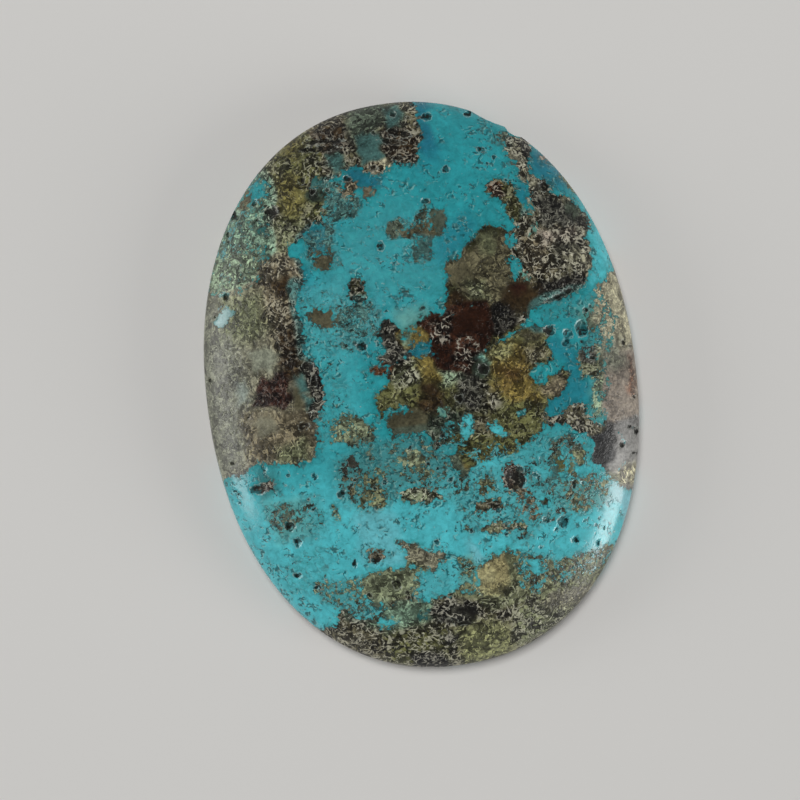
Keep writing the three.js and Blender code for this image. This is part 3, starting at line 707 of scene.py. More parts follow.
# %% Markings of the right flank
RIGHT_FLANK = [
    ("mingled", "mint rock", 0.6, 0.4, (11.7, 3.4, 13.0, 5.2, 13.9, 5.4, 14.5, 3, 14.0, 1.8,
     13.6, 0, 13.3, -2.6, 12.8, -4.3, 11.6, -4.4, 11.2, -3.4, 11.5, -2.6, 12.0, -1.2, 11.3, -0.9,
     11.2, 0.1, 11.9, 1.2, 12.2, 2.2), 0.12),
    ("mingled", "teal rock", 0.4, 0.5, (8.8, 4.2, 11.4, 4.8, 13.0, 4.6, 12.6, 3.2, 10.4, 2.9,
     8.6, 3.2), -0.28),
    ("rock", "khaki", 0.8, 0.2, (11.1, 0.6, 12.0, 1.2, 12.5, 0.3, 12.4, -1.1, 11.3, -1.05)),
    ("mingled", "charcoal", 0.7, 0.2, (11.3, 1.6, 12.2, 1.4, 12.1, 0.1, 11.6, 0.3), 0.05),
    ("rock", "grey green", 0.4, 0.25, (11.9, 3.3, 13.1, 3.4, 13.2, 2.4, 12.1, 2.3)),
    ("pocket", "turquoise", 0.6, 0.25, (12.0, 2.15, 13.1, 2.0, 13.0, 1.2, 12.1, 1.1)),
    ("rock", "pink grey", 0.3, 0.15, (16.8, 6.8, 14.9, 6.8, 14.25, 6.2, 13.85, 5.6, 13.3, 5.2,
     13.5, 4.4, 13.9, 3.6, 14.3, 2.8, 13.8, 2.0, 13.6, 1.0, 13.2, 0.0, 13.0, -1.6, 12.7, -2.4,
     12.6, -4.0, 12.4, -5, 13.0, -5.4, 16.8, -5)),
    # This pale stain is partly the rock's own colour and partly a painted sheen along the right
    # rim.
    ("stain", "pale rock and rim sheen", 0.5, 0.5, (12.8, 7.2, 15.8, 7.2, 15.8, 0.8, 12.8, 0.4)),
    ("stain", "flank grey", 0.4, 0.5, (12.8, 1.0, 14.2, 1.6, 14.4, -0.6, 13.0, -1.0)),
    ("stain", "rust", 0.7, 0.25, (14.6, -0.1, 14.9, -0.1, 14.9, -1.6, 14.7, -3.0, 14.4, -2.9,
     14.4, -2.0, 14.6, -1.2)),
    ("rock", "slate", 0.5, 0.15, (11.2, -4.3, 12, -4.4, 13.2, -4.9, 13.8, -6.2, 13.4, -7.6,
     12.6, -8.2, 11.9, -7.7, 11.2, -7.1, 11.2, -6.6, 11.4, -5.8, 11.0, -5.0)),
    # The grey patch and stain below are partly rock and partly a painted reflection of the white
    # sheen at the right rim.
    ("rock", "rim grey and sheen", 0.2, 0.3, (13.4, -4.9, 15.4, -4.6, 16.2, -6, 15.4, -9.6, 13.2, -9.4,
     12.5, -8.8, 12.1, -8.1, 13.2, -7.4, 13.6, -6)),
    ("stain", "rim grey and sheen", 0.2, 0.8, (13.3, -5.0, 15.6, -4.6, 15.6, -9.6, 12.8, -9.2, 12.9, -7.2)),
    # This pale stain is partly rock and partly a painted reflection of the white sheen at the rim.
    ("stain", "pale rock and rim sheen", 0.7, 0.4, (12.7, -7.8, 14.6, -7.4, 14.4, -9.4, 12.9, -8.9)),
    ("rock", "brown grey", 1.0, 0.12, (8.3, -3.4, 9.0, -3.6, 9.8, -3.2, 10.6, -2.8, 11.3, -2.9,
     11.2, -3.6, 11.6, -4.3, 12.2, -4.7, 11.2, -5.0, 10.2, -4.9, 9.7, -4.2, 8.6, -4.1)),
    ("rock", "khaki", 0.7, 0.2, (9.9, -5.9, 10.6, -5.7, 10.8, -6.2, 10.6, -7.1, 9.9, -7.0,
     9.7, -6.4)),
    ("mingled", "grey green", 0.6, 0.25, (8.3, -5.1, 9.8, -5.0, 10.2, -5.8, 9.2, -5.8, 8.7, -6.6,
     9.4, -6.8, 9.4, -7.6, 8.2, -7.8, 8.1, -6.9, 8.3, -6.0), 0.08),
    ("rock", "olive", 0.2, 0.25, (8.2, -7.5, 8.4, -6.9, 9.0, -6.8, 9.3, -7.0, 9.1, -7.5,
     8.6, -7.7)),
]

# %% Markings of the lower end
LOWER_END = [
    ("mingled", "grey green", 0.55, 0.6, (-3.4, -3.5, -0.2, -3.6, 0.3, -5, 1.2, -5.4, 1.6, -6.8,
     0.4, -8.0, -2.6, -7.0, -2.8, -8.0, -4, -8.4, -5.4, -8.2, -6.9, -7.2, -6.6, -4.4, -5.2, -4.0),
     -0.2),
    ("mingled", "pale khaki", 0.6, 0.4, (-2.1, -5.0, -1.6, -4.5, -0.6, -4.5, -0.5, -5.2,
     -0.3, -6.2, -1.2, -6.0, -1.8, -5.8), 0.25),
    ("mingled", "charcoal", 0.7, 0.2, (-6.6, -5.2, -6.2, -4.6, -5.7, -4.3, -5.2, -4.9, -5.2, -5.9,
     -6.2, -6.0), 0.06),
    ("mingled", "brown grey", 0.7, 0.25, (-6.7, -6.2, -5.3, -6.1, -5.2, -7.0, -6.2, -7.1), 0.0),
    ("mingled", "khaki", 0.6, 0.4, (-5.2, -6.0, -4.0, -6.0, -3.8, -7.0, -4.0, -8.2, -5.3, -7.7),
     0.15),
    ("rock", "pale khaki", 1.0, 0.12, (-2.6, -7.8, -2.4, -7.2, -1.2, -7.0, -0.7, -7.3, 0.3, -7.9,
     0.4, -8.2, -0.5, -8.3, -1.3, -8.1, -2.3, -7.9)),
    ("mingled", "grey green", 0.55, 0.5, (1.0, -6.9, 3.2, -7.0, 5.2, -7.2, 6.6, -8.4, 6.8, -10,
     5.6, -11.0, 3, -10.6, 2, -11.2, 1.9, -9.2, 0.8, -8.4), -0.2),
    ("rock", "brown grey", 0.8, 0.15, (2.6, -8.8, 3.2, -8.6, 4.2, -8.8, 4.5, -9.5, 3.6, -9.3,
     3.0, -9.7, 2.6, -9.4)),
    ("mingled", "khaki", 0.7, 0.25, (3.0, -7.2, 4.2, -7.2, 4.3, -8.2, 3.1, -8.3), 0.1),
    ("rock", "bean brown", 0.9, 0.12, (4.7, -7.2, 5.0, -6.6, 5.6, -6.4, 6.0, -7.0, 6.3, -7.7,
     5.9, -8.2, 5.2, -8.3, 4.8, -7.9)),
    ("stain", "charcoal", 0.9, 0.2, (5.4, -7.2, 6.4, -7.0, 6.5, -8.3, 5.4, -8.4)),
    ("mingled", "grain beige", 0.7, 0.3, (5.5, -8.4, 6.2, -8.3, 6.7, -9.0, 6.8, -9.9, 6.4, -10.4,
     5.8, -9.8), 0.12),
    ("rock", "dark olive", 0.4, 0.15, (7.1, -9.3, 7.6, -9.0, 8.0, -9.3, 7.7, -9.7, 7.2, -9.7)),
    ("mingled", "teal rock", 0.45, 0.4, (6.3, -6.8, 8.0, -6.8, 8.2, -7.8, 6.6, -7.8), -0.1),
    ("mingled", "khaki", 0.6, 0.4, (9.4, -8.1, 11, -8, 12.4, -8.6, 12.2, -9, 11.2, -10.4,
     9.9, -10.8, 9.2, -9.4), -0.05),
    ("mingled", "grey green", 0.6, 0.25, (-12.1, -7.1, -11.2, -6.9, -10.1, -7.3, -10.0, -8.2,
     -10.4, -8.9, -11.4, -8.8, -12.0, -8.2), -0.05),
    ("mingled", "grey green", 0.5, 0.3, (-9.3, -7.1, -8.4, -6.9, -8.1, -8.2, -9.1, -8.0), -0.1),
    ("mingled", "mint rock", 0.5, 0.25, (-7.7, -7.4, -7.2, -7.3, -6.8, -8.2, -6.8, -8.9,
     -7.4, -8.9, -7.6, -8.2), 0.08),
    ("rock", "dark brown", 0.9, 0.12, (-12.5, -5.5, -12.1, -5.2, -11.4, -5.2, -11.0, -5.5,
     -11.4, -5.9, -12.0, -6.0, -12.5, -5.9)),
    ("rock", "grey beige", 0.6, 0.12, (-3.1, -10.7, -2.6, -10.9, -2.0, -11.0, -1.2, -11.5,
     -0.5, -11.8, -0.1, -12.1, -0.3, -12.6, -1.0, -13.0, -2.0, -12.9, -2.5, -12.4, -2.8, -11.6)),
    ("rock", "beige", 0.7, 0.12, (-5.3, -11.1, -4.4, -11.1, -4.2, -11.6, -4.6, -11.9,
     -5.3, -11.7)),
    ("mingled", "khaki", 0.8, 0.3, (-7.6, -13.6, -6.4, -12.9, -5.6, -12.6, -4.2, -12.5,
     -2.6, -12.6, -1.8, -13.1, -2.0, -14.0, -2.2, -15.2, -4.2, -15.6, -7.4, -15.0), 0.14),
    ("mingled", "pale khaki", 0.6, 0.4, (-9.6, -12.8, -6.2, -12.6, -6.0, -14.8, -7.6, -15.2,
     -9.2, -14.2), -0.05),
    ("rock", "pale khaki", 0.55, 0.2, (-5.6, -12.7, -4.2, -12.5, -2.7, -12.7, -2.2, -13.4,
     -2.6, -14.3, -2.6, -15.0, -4.4, -15.2, -5.6, -14.8, -6.3, -14.0, -6.0, -13.2)),
    ("rock", "brown grey", 0.9, 0.15, (-9.9, -16.4, -8.9, -15.9, -8.3, -15.9, -8.0, -15.3,
     -7.8, -14.9, -7.4, -14.8, -7.2, -15.3, -6.4, -15.7, -5.4, -15.6, -4.6, -15.1, -3.0, -14.8,
     -2.2, -14.9, -1.4, -15.2, 0.2, -14.8, 1.0, -14.8, 1.6, -15.0, 2.8, -15.3, 5.2, -14.9,
     6.6, -14.3, 8, -14.7, 9.3, -14.7, 10, -14.5, 10.8, -14.0, 13.4, -14, 12, -18.6, 5, -21.5,
     -5, -21.5, -11, -18)),
    ("stain", "drab", 1.0, 0.6, (-9.4, -16, -5.4, -16.4, -5, -18, -6, -19.5, -10, -18)),
    ("stain", "olive", 1.0, 0.6, (-5, -17, -0.6, -17.0, -0.4, -20, -2, -20.6, -5, -19.6)),
    ("stain", "soft mint", 0.5, 0.6, (-6.0, -14.8, -1.4, -15.2, -1.6, -16.4, -4.4, -16.8,
     -6.0, -16.2)),
    ("stain", "charcoal", 1.0, 0.3, (-1.5, -15.8, -0.4, -15.2, 1.4, -15.5, 1.8, -16.4, 1.3, -17.1,
     -0.4, -17.1, -1.6, -16.6)),
    ("stain", "black", 0.2, 0.2, (0.0, -15.95, 1.3, -15.95, 1.6, -16.5, 1.3, -16.9, 0.8, -16.4,
     0.1, -16.3)),
    ("stain", "charcoal", 0.9, 0.3, (-1.2, -17.6, 0.3, -17.5, 0.4, -18.4, -0.8, -18.6)),
    ("stain", "black", 0.9, 0.3, (-3.5, -18.6, -1.6, -18.5, -0.9, -19.2, -1.0, -20.2,
     -3.3, -19.8)),
    ("stain", "moss", 0.65, 0.7, (0.2, -17.3, 2.6, -17.0, 4.0, -18.0, 3.8, -19.8, 0.2, -20.4)),
    ("stain", "khaki", 0.9, 0.6, (4.2, -16.2, 9.6, -16.2, 9.0, -17.2, 6.0, -19, 4.2, -19.2)),
    ("stain", "grey beige", 0.6, 0.5, (6.0, -15.6, 11.4, -14.2, 10.0, -16.8, 6.4, -17.0)),
    ("stain", "grey beige", 0.5, 0.4, (0.4, -14.6, 2.0, -14.4, 2.0, -15.4, 0.6, -15.6)),
    ("mingled", "khaki", 0.55, 0.25, (0.7, -12.3, 2.0, -12.5, 2.1, -13.4, 2.0, -14.6, 1.4, -15.0,
     0.3, -14.8, 0.5, -13.8), 0.02),
    ("rock", "khaki", 0.8, 0.3, (1.9, -13.4, 3.0, -12.8, 3.6, -12.7, 4.4, -12.3, 5.0, -12.7,
     5.3, -13.8, 5.0, -15.6, 2.8, -16.0, 2.0, -15.2)),
    ("stain", "sand", 0.4, 0.6, (2.1, -13.3, 3.0, -12.6, 4.4, -12.3, 5.1, -12.8, 4.8, -13.8,
     3.9, -14.6, 3.4, -15.4, 2.6, -15.0, 2.0, -14.4)),
    ("stain", "pale sand", 0.3, 0.5, (2.1, -13.6, 3.0, -13.4, 3.1, -14.4, 2.2, -14.8)),
    ("rock", "khaki", 0.9, 0.15, (2.7, -10.5, 3.5, -10.4, 4.4, -10.5, 5.3, -10.3, 5.8, -10.9,
     4.6, -11.05, 3.4, -10.9, 2.8, -10.8)),
    ("mingled", "khaki", 0.7, 0.4, (4.6, -12.5, 5.6, -12.7, 6.8, -13.0, 7.6, -13.6, 9, -13.8,
     10.2, -13.4, 11.6, -13.0, 11.4, -14.6, 8, -15.2, 5.0, -15.2), 0.12),
    ("pocket", "lower turquoise", 0.4, 0.15, (0.9, -12.0, 0.7, -12.8, 0.5, -13.8, 0.2, -14.5,
     -0.6, -14.8, -1.2, -15.1, -2.0, -14.95, -2.4, -14.3, -1.9, -13.7, -1.3, -13.25, -0.7, -13.1,
     -0.2, -12.9, 0, -12.0)),
    ("pocket", "lower turquoise", 0.0, 0.15, (-5.4, -15.5, -4.6, -15.9, -3.9, -16.2, -3.9, -16.6,
     -4.6, -16.6, -5.3, -16.4)),
    ("mingled", "grey green", 0.7, 0.2, (-7.4, -14.8, -6.2, -14.9, -5.1, -15.2, -5.4, -15.8,
     -6.6, -15.7, -7.3, -15.4), -0.1),
    ("pocket", "teal", 0.4, 0.15, (-2.4, -15.8, -1.7, -15.9, -1.8, -16.5, -2.4, -16.3)),
    ("mingled", "khaki", 0.7, 0.2, (5.4, -15, 6.5, -15.1, 6.4, -15.9, 5.5, -15.8), -0.12),
    ("pocket", "lower turquoise", 0.2, 0.3, (5.6, -13.3, 6.8, -13.2, 6.7, -14.6, 5.8, -14.4)),
]

MARKINGS = (
    WASHES + SPECKLED + UPPER_END + LEFT_FLANK + UPPER_RIGHT + MIDDLE + RIGHT_FLANK + LOWER_END
)
print(f"{len(MARKINGS)} markings in {len(PALETTE)} colours")

# %% [markdown]
# ## From outlines to values on the vertices
# An outline becomes a signed distance: how far a point is inside it, negative outside. Distances
# can be joined by taking the larger, and cut by taking the smaller, which is how the patches of
# rock grow together and the pockets open in them. The points are first pushed about a little by a
# smooth noise, so that the straight sides of the outlines waver as natural borders do. Blender
# takes this noise's start from the clock unless it is given a seed, so one is set, and every run
# makes the same stone. The dome stands nearer the lens than the rim does and looks a little
# larger, which is allowed for too.

# %% Helpers for smooth steps, smooth noise and distances
NOISE_SEED = 5
SEED_STEP = Vector((7.3, 3.1, 5.7))
noise.seed_set(NOISE_SEED)


def smooth_step(low, high, value):
    """0 below low, 1 above high, and a smooth rise between."""
    t = np.clip((value - low) / (high - low), 0, 1)
    return t * t * (3 - 2 * t)


def wander(points, size, amount, seed):
    """A smooth random offset for each point, in patches of a size."""
    start = SEED_STEP * seed
    return amount * np.array([noise.noise_vector(Vector(p) / size + start) for p in points])


def signed_distance(points, outline):
    """How far each point is inside an outline, negative where it is outside."""
    corners = np.array(outline, dtype=float).reshape(-1, 2)
    nearest = np.full(len(points), np.inf)
    inside = np.zeros(len(points), dtype=bool)
    for start, end in zip(corners, np.roll(corners, -1, axis=0)):
        side = end - start
        offset = points - start
        along = np.clip(offset @ side / (side @ side), 0, 1)
        nearest = np.minimum(nearest, np.hypot(*(offset - along[:, None] * side).T))
        passes = (start[1] > points[:, 1]) != (end[1] > points[:, 1])
        crossing = start[0] + (points[:, 1] - start[1]) * side[0] / (side[1] or 1)
        inside ^= passes & (points[:, 0] < crossing)
    return np.where(inside, nearest, -nearest)


print("seeds are", SEED_STEP[:], "apart in the noise")

# %% Points of the mesh, as the lens sees them
count = len(stone_mesh.vertices)
points = np.empty(count * 3)
stone_mesh.vertices.foreach_get("co", points)
points = points.reshape(-1, 3)

lens_height = (camera_height / MM) + PICTURED_HEIGHT / MM
lens_spot = np.array(VIEW_MIDDLE.xy) / MM
nearer = (lens_height - PICTURED_HEIGHT / MM) / (lens_height - points[:, 2:])
seen = np.column_stack([lens_spot + (points[:, :2] - lens_spot) * nearer, points[:, 2]])

WAVER_SIZE = 0.9
WAVER = 0.12
FINE_WAVER_SIZE = 0.3
FINE_WAVER = 0.05
waver = wander(points, WAVER_SIZE, WAVER, seed=1)
fine_waver = wander(points, FINE_WAVER_SIZE, FINE_WAVER, seed=2)
spot = (seen + waver + fine_waver)[:, :2]
ROUGH_WAVER_SIZE = 0.55
ROUGH_WAVER = 0.3
stain_waver = wander(points, ROUGH_WAVER_SIZE, ROUGH_WAVER, seed=5)[:, :2]
print(f"{count} vertices")

# %% [markdown]
# The veins don't stop at the edge of the dome. They dip through the stone at a slant, so below the
# dome the map is read a little to one side, further and more unevenly the lower the point is. The
# back then shows the same rock in other places, as a real slab does.

# %% Carry the markings through to the back
DIP = np.array((2.0, -1.5))
DIP_UNEVENNESS = 2.5
DIP_PATCH = 6.0

sunk = np.clip((GIRDLE_TOP - points[:, 2]) / GIRDLE_TOP, 0, 1)[:, None]
spot += sunk * (DIP + wander(points, DIP_PATCH, DIP_UNEVENNESS, seed=3)[:, :2])
print(f"{int((sunk > 0).sum())} vertices below the dome")

# %% The values before the first marking
FAR = 1.5
SPILL = 0.3
PLAIN_GRAIN = 0.5
MINGLED_GRAIN = 0.65


def linear(colour):
    """A screen colour, 0 to 255, as the light it stands for by the sRGB curve."""
    share = np.array(colour) / 255
    return np.where(share <= 0.04045, share / 12.92, ((share + 0.055) / 1.055) ** 2.4)


reach = np.full(count, -FAR)
mingling = np.zeros(count)
grain = np.full(count, PLAIN_GRAIN)
rock_colour = np.tile(linear(PALETTE["brown grey"]), (count, 1))
blue_colour = np.tile(linear(PALETTE["turquoise"]), (count, 1))
print("turquoise as light:", blue_colour[0].round(3))

# %% Paint the markings onto the vertices, one over the other
for kind, colour, strength, softness, outline, *bias in MARKINGS:
    corners = np.array(outline, dtype=float).reshape(-1, 2)
    low, high = corners.min(axis=0) - FAR, corners.max(axis=0) + FAR
    near = np.flatnonzero(((spot > low) & (spot < high)).all(axis=1))
    place = spot[near] + (stain_waver[near] if kind in ("stain", "wash") else 0)
    depth = signed_distance(place, outline)
    cover = smooth_step(-softness, softness, depth)
    spill = smooth_step(-softness - SPILL, -softness, depth)[:, None]
    paint = linear(PALETTE[colour])
    if kind == "rock":
        reach[near] = np.maximum(reach[near], depth)
        mingling[near] *= 1 - cover
        grain[near] += (strength - grain[near]) * spill[:, 0]
        rock_colour[near] += (paint - rock_colour[near]) * spill
    elif kind == "pocket":
        reach[near] = np.minimum(reach[near], -depth)
        mingling[near] += (strength - mingling[near]) * cover
        blue_colour[near] += (paint - blue_colour[near]) * spill
    elif kind == "mingled":
        reach[near] += (bias[0] - reach[near]) * cover
        mingling[near] += (strength - mingling[near]) * cover
        grain[near] += (MINGLED_GRAIN - grain[near]) * cover
        rock_colour[near] += (paint - rock_colour[near]) * spill
    elif kind == "stain":
        grain[near] += (strength - grain[near]) * cover
        rock_colour[near] += (paint - rock_colour[near]) * cover[:, None]
    elif kind == "wash":
        blue_colour[near] += (paint - blue_colour[near]) * cover[:, None] * strength
reach = np.clip(reach, -FAR, FAR)
print(f"rock on {100 * (reach > 0).mean():.0f} % of the vertices")

# %% [markdown]
# ## Pits, furrows and chips
# Where the rock was soft, grains broke out while the stone was ground, and the polish could not
# reach into the holes. The larger ones are those of the CAD solid, cut there with flattened balls.
# Here the same balls press the vertices down, so both models have them in the same places. The
# smaller ones are only here. A hole is painted dark inside, partly for the dark stone in it and
# partly as painted shade, so its depth is kept for the material too.

# %% Pits: x, y, half width across X, half width across Y, depth
PITS = [
    (-12.0, 12.2, 0.2, 0.24, 0.2), (-11.3, 13.4, 0.34, 0.42, 0.26), (-9.75, 14.1, 0.2, 0.26, 0.2),
    (-8.7, 13.2, 0.5, 0.42, 0.22), (-6.3, 15.1, 0.3, 0.24, 0.26), (-6.2, 12.0, 0.24, 0.3, 0.26),
    (-3.15, 14.7, 0.36, 0.2, 0.22), (-1.2, 15.25, 0.36, 0.24, 0.24), (0.6, 18.9, 0.26, 0.24, 0.2),
    (2.9, 18.4, 0.4, 0.34, 0.22), (5.8, 18.3, 0.3, 0.24, 0.24), (3.7, 14.4, 0.24, 0.28, 0.2),
    (6.3, 15.5, 0.34, 0.22, 0.22), (2.0, 12.4, 0.36, 0.22, 0.22), (-1.5, 9.7, 0.34, 0.38, 0.16),
    (10.3, 12.4, 0.36, 0.34, 0.32), (-14.6, 2.3, 0.2, 0.22, 0.22), (-12.6, 7.9, 0.2, 0.3, 0.24),
    (-3.75, 3.1, 0.36, 0.38, 0.34), (4.3, 0.45, 0.42, 0.38, 0.28), (9.2, 2.45, 0.46, 0.4, 0.2),
    (10.4, 2.0, 0.38, 0.34, 0.26), (10.2, 1.45, 0.26, 0.26, 0.34), (11.45, 2.3, 0.46, 0.62, 0.34),
    (14.4, -5.3, 0.24, 0.32, 0.3), (13.2, -6.15, 0.22, 0.2, 0.2), (14.1, -6.8, 0.22, 0.18, 0.24),
    (9.4, -8.3, 0.2, 0.36, 0.26), (5.4, -7.3, 0.72, 0.92, 0.34), (8.35, -10.75, 0.44, 0.44, 0.36),
    (9.0, -12.1, 0.28, 0.24, 0.32), (10.65, -12.6, 0.18, 0.18, 0.22),
    (7.2, -10.4, 0.32, 0.22, 0.2), (-0.5, -10.85, 0.24, 0.2, 0.2), (-3.6, -13.4, 0.3, 0.4, 0.4),
    (-4.8, -11.4, 0.38, 0.34, 0.3), (-6.3, -11.6, 0.2, 0.36, 0.24), (-8.2, -5.25, 0.2, 0.22, 0.26),
    (-12.2, -5.6, 0.6, 0.38, 0.22), (-10.4, -8.45, 0.4, 0.38, 0.32),
    (-10.05, -9.6, 0.28, 0.38, 0.26), (-10.4, -11.9, 0.3, 0.2, 0.24),
    (-6.5, -6.7, 0.34, 0.28, 0.28), (-9.1, -12.95, 0.32, 0.18, 0.22),
    (-8.4, -1.7, 0.42, 0.26, 0.28), (-7.6, 2.3, 0.4, 0.36, 0.24), (-7.3, 1.2, 0.28, 0.5, 0.24),
]
SMALL_PITS = [
    (-9.8, 12.75, 0.16), (-12.0, 11.7, 0.12), (-5.6, 14.2, 0.2), (1.6, 18.5, 0.16),
    (-4.6, 14.2, 0.14), (-0.9, 17.75, 0.15), (2.1, 19.4, 0.12), (1.65, 15.7, 0.14),
    (7.1, 14.85, 0.16), (6.6, 14.5, 0.1), (7.7, 13.15, 0.12), (-13.6, 6.6, 0.15),
    (-13.9, 7.0, 0.12), (-6.7, 3.8, 0.12), (-0.85, 8.45, 0.14), (-0.5, 8.4, 0.12),
    (-1.7, 5.25, 0.14), (0.7, 5.1, 0.18), (-2.6, 3.1, 0.16), (-2.65, 3.3, 0.12), (11.9, 3.5, 0.18),
    (12.3, 3.7, 0.14), (11.9, 0.2, 0.2), (14.3, 0.9, 0.2), (14.9, 0.6, 0.16), (-13.85, -3.6, 0.16),
    (-12.2, -0.6, 0.12), (-7.8, -0.7, 0.18), (-11.6, -4.4, 0.16), (-10.0, -4.9, 0.12),
    (-13.7, -5.8, 0.14), (-13.9, -5.6, 0.12), (-13.7, -6.4, 0.12), (-10.7, -5.2, 0.1),
    (-10.2, -5.6, 0.1), (-8.8, -6.7, 0.12), (-8.4, -6.6, 0.12), (-5.7, -6.15, 0.16),
    (-5.4, -5.8, 0.14), (-8.6, -7.4, 0.14), (-9.0, -7.6, 0.1), (-8.7, -9.5, 0.1), (2.4, -1.3, 0.3),
    (0.9, -3.7, 0.18), (0.5, -4.3, 0.16), (-0.4, -4.4, 0.18), (-1.4, -4.2, 0.16),
    (-0.3, -5.4, 0.18), (0.2, -5.9, 0.16), (1.0, -6.7, 0.18), (-3.4, -6.2, 0.2),
    (-2.5, -6.7, 0.14), (-4.2, -6.6, 0.16), (-1.4, -7.3, 0.18), (-1.1, -8.1, 0.14),
    (3.9, -9.3, 0.2), (-4.3, -7.9, 0.18), (7.35, -6.1, 0.16), (7.8, -6.0, 0.1), (6.2, -6.8, 0.16),
    (6.8, -7.2, 0.18), (7.0, -7.5, 0.16), (10.05, -8.3, 0.14), (9.1, -9.0, 0.14),
    (7.6, -8.6, 0.12), (13.9, -4.9, 0.16), (14.5, -4.3, 0.14), (14.6, -2.9, 0.16),
    (-10.5, -11.0, 0.12), (-8.5, -12.5, 0.1), (-7.8, -13.1, 0.12), (-9.0, -13.4, 0.12),
    (-5.6, -13.9, 0.2), (-3.0, -14.1, 0.18), (0.3, -10.2, 0.12), (2.0, -10.4, 0.14),
    (2.5, -11.3, 0.1), (1.9, -14.0, 0.12), (4.3, -11.0, 0.14), (-0.4, -12.4, 0.12),
    (7.8, -11.25, 0.18), (6.5, -12.2, 0.14), (11.2, -11.7, 0.1),
]
FURROWS = [
    (-5.9, 17.85, -3.0, 17.5, 0.2, 0.24), (-6.3, 17.3, -3.2, 17.0, 0.22, 0.28),
    (-5.2, 16.1, -4.1, 16.05, 0.16, 0.22), (0.0, 17.75, 1.7, 17.15, 0.26, 0.3),
    (-0.55, 17.15, 1.3, 16.65, 0.24, 0.3), (0.1, 15.75, 1.0, 15.6, 0.16, 0.22),
    (-1.0, -16.3, 0.2, -16.55, 0.22, 0.26), (-0.2, -16.7, 1.2, -16.85, 0.18, 0.24),
    (3.2, -8.75, 4.1, -9.0, 0.18, 0.24), (9.0, 4.3, 11.6, 5.15, 0.18, 0.2),
]
print(f"{len(PITS)} pits, {len(SMALL_PITS)} small pits, {len(FURROWS)} furrows")

# %% Press the holes into the dome
LEFT_OUT = 0.35  # the share of a ball that stands above the dome
HOLE_WAVER = 0.12
HOLE_WAVER_SIZE = 0.35
HOLE_REACH = 1.7
HOLE_SHADE = (1.5, 0.55)
RIM_MARGIN = 0.01

dome = points[:, 2] > GIRDLE_TOP + RIM_MARGIN
hole_spot = (points + wander(points, HOLE_WAVER_SIZE, HOLE_WAVER, seed=4))[:, :2]
pit = np.zeros(count)
polished_height = points[:, 2].copy()


def press(x, y, half_length, half_width, turn, depth):
    """Presses a flattened ball into the dome, turned in plan."""
    away = hole_spot - (x, y)
    along = (away[:, 0] * math.cos(turn) + away[:, 1] * math.sin(turn)) / half_length
    across = (away[:, 1] * math.cos(turn) - away[:, 0] * math.sin(turn)) / half_width
    out = along**2 + across**2
    touched = dome & (out < HOLE_REACH)
    inside = np.sqrt(np.clip(1 - out[touched], 0, 1))
    floor_height = polished_height[touched] + depth * (LEFT_OUT - (1 + LEFT_OUT) * inside)
    points[touched, 2] = np.minimum(points[touched, 2], floor_height)
    pit[touched] = np.maximum(pit[touched], smooth_step(*HOLE_SHADE, out[touched]))


print(f"{int(dome.sum())} vertices can be pressed")

# %% Press them in, the small ones turned every way
SMALL_LENGTH, SMALL_WIDTH, SMALL_DEPTH = 1.15, 0.95, 0.9
TURN_SPREAD = 7
TURN_LIMIT = 3.1

for x, y, half_x, half_y, depth in PITS:
    press(x, y, half_x, half_y, 0, depth)
for x, y, radius in SMALL_PITS:
    turn = (x * TURN_SPREAD + y) % TURN_LIMIT
    press(x, y, radius * SMALL_LENGTH, radius * SMALL_WIDTH, turn, radius * SMALL_DEPTH)
for x1, y1, x2, y2, half_width, depth in FURROWS:
    half_length = math.hypot(x2 - x1, y2 - y1) / 2
    turn = math.atan2(y2 - y1, x2 - x1)
    press((x1 + x2) / 2, (y1 + y2) / 2, half_length, half_width, turn, depth)
print(f"deepest hole {(polished_height - points[:, 2]).max():.2f} mm")

# %% [markdown]
# The rock is softer than the turquoise, so polishing wore it a little lower, and its coarse grains
# stand unevenly. Both are far too small to see from the side but they break up the reflections.

# %% Wear of the rock
UNDERCUT = 0.03
GRAIN_HEIGHT = 0.035
GRAIN_SIZE = 0.32
GRAIN_LEVEL = 0.3
WEAR_EDGE = 0.25

crumble = np.array([noise.noise(Vector(p) / GRAIN_SIZE) for p in points])
in_rock = smooth_step(0, WEAR_EDGE, reach) * dome
points[:, 2] -= in_rock * (UNDERCUT + GRAIN_HEIGHT * grain * (crumble - GRAIN_LEVEL))
print(f"rock lies {UNDERCUT} mm under the turquoise")

# %% [markdown]
# Chips broke off the rim, the longest at the upper right. Each is a hollow of a large ball whose
# nearest part reaches into the rim, so the vertices inside the ball are pushed out of it, inwards.

# %% Chips off the rim: direction in degrees, half length, depth
CHIPS = [(66, 1.9, 0.42), (61.8, 0.85, 0.54), (-63, 0.8, 0.12), (-97, 1.7, 0.2)]
CHIP_MIDDLE = 0.8
CHIP_REACH = 2.0

moved = 0
for direction, half_length, depth in CHIPS:
    angle = math.radians(direction)
    toward = np.array((math.cos(angle), math.sin(angle)))
    ball = (half_length**2 + depth**2) / (2 * depth)
    ball_height = CHIP_REACH / math.sqrt(1 - (1 - depth / ball) ** 2)
    middle = toward * (float(oval_radius(angle)) + ball - depth)
    away = points[:, :2] - middle
    distance = np.hypot(away[:, 0], away[:, 1])
    level = np.clip(1 - ((points[:, 2] - CHIP_MIDDLE) / ball_height) ** 2, 0, 1)
    wall = ball * np.sqrt(level)
    pushed = distance < wall
    points[pushed, :2] = middle + away[pushed] * (wall[pushed] / distance[pushed])[:, None]
    moved += int(pushed.sum())
print(f"{moved} vertices pushed in by chips")

# %% Write the shape and the values to the mesh
SHARP_EDGE = math.radians(35)

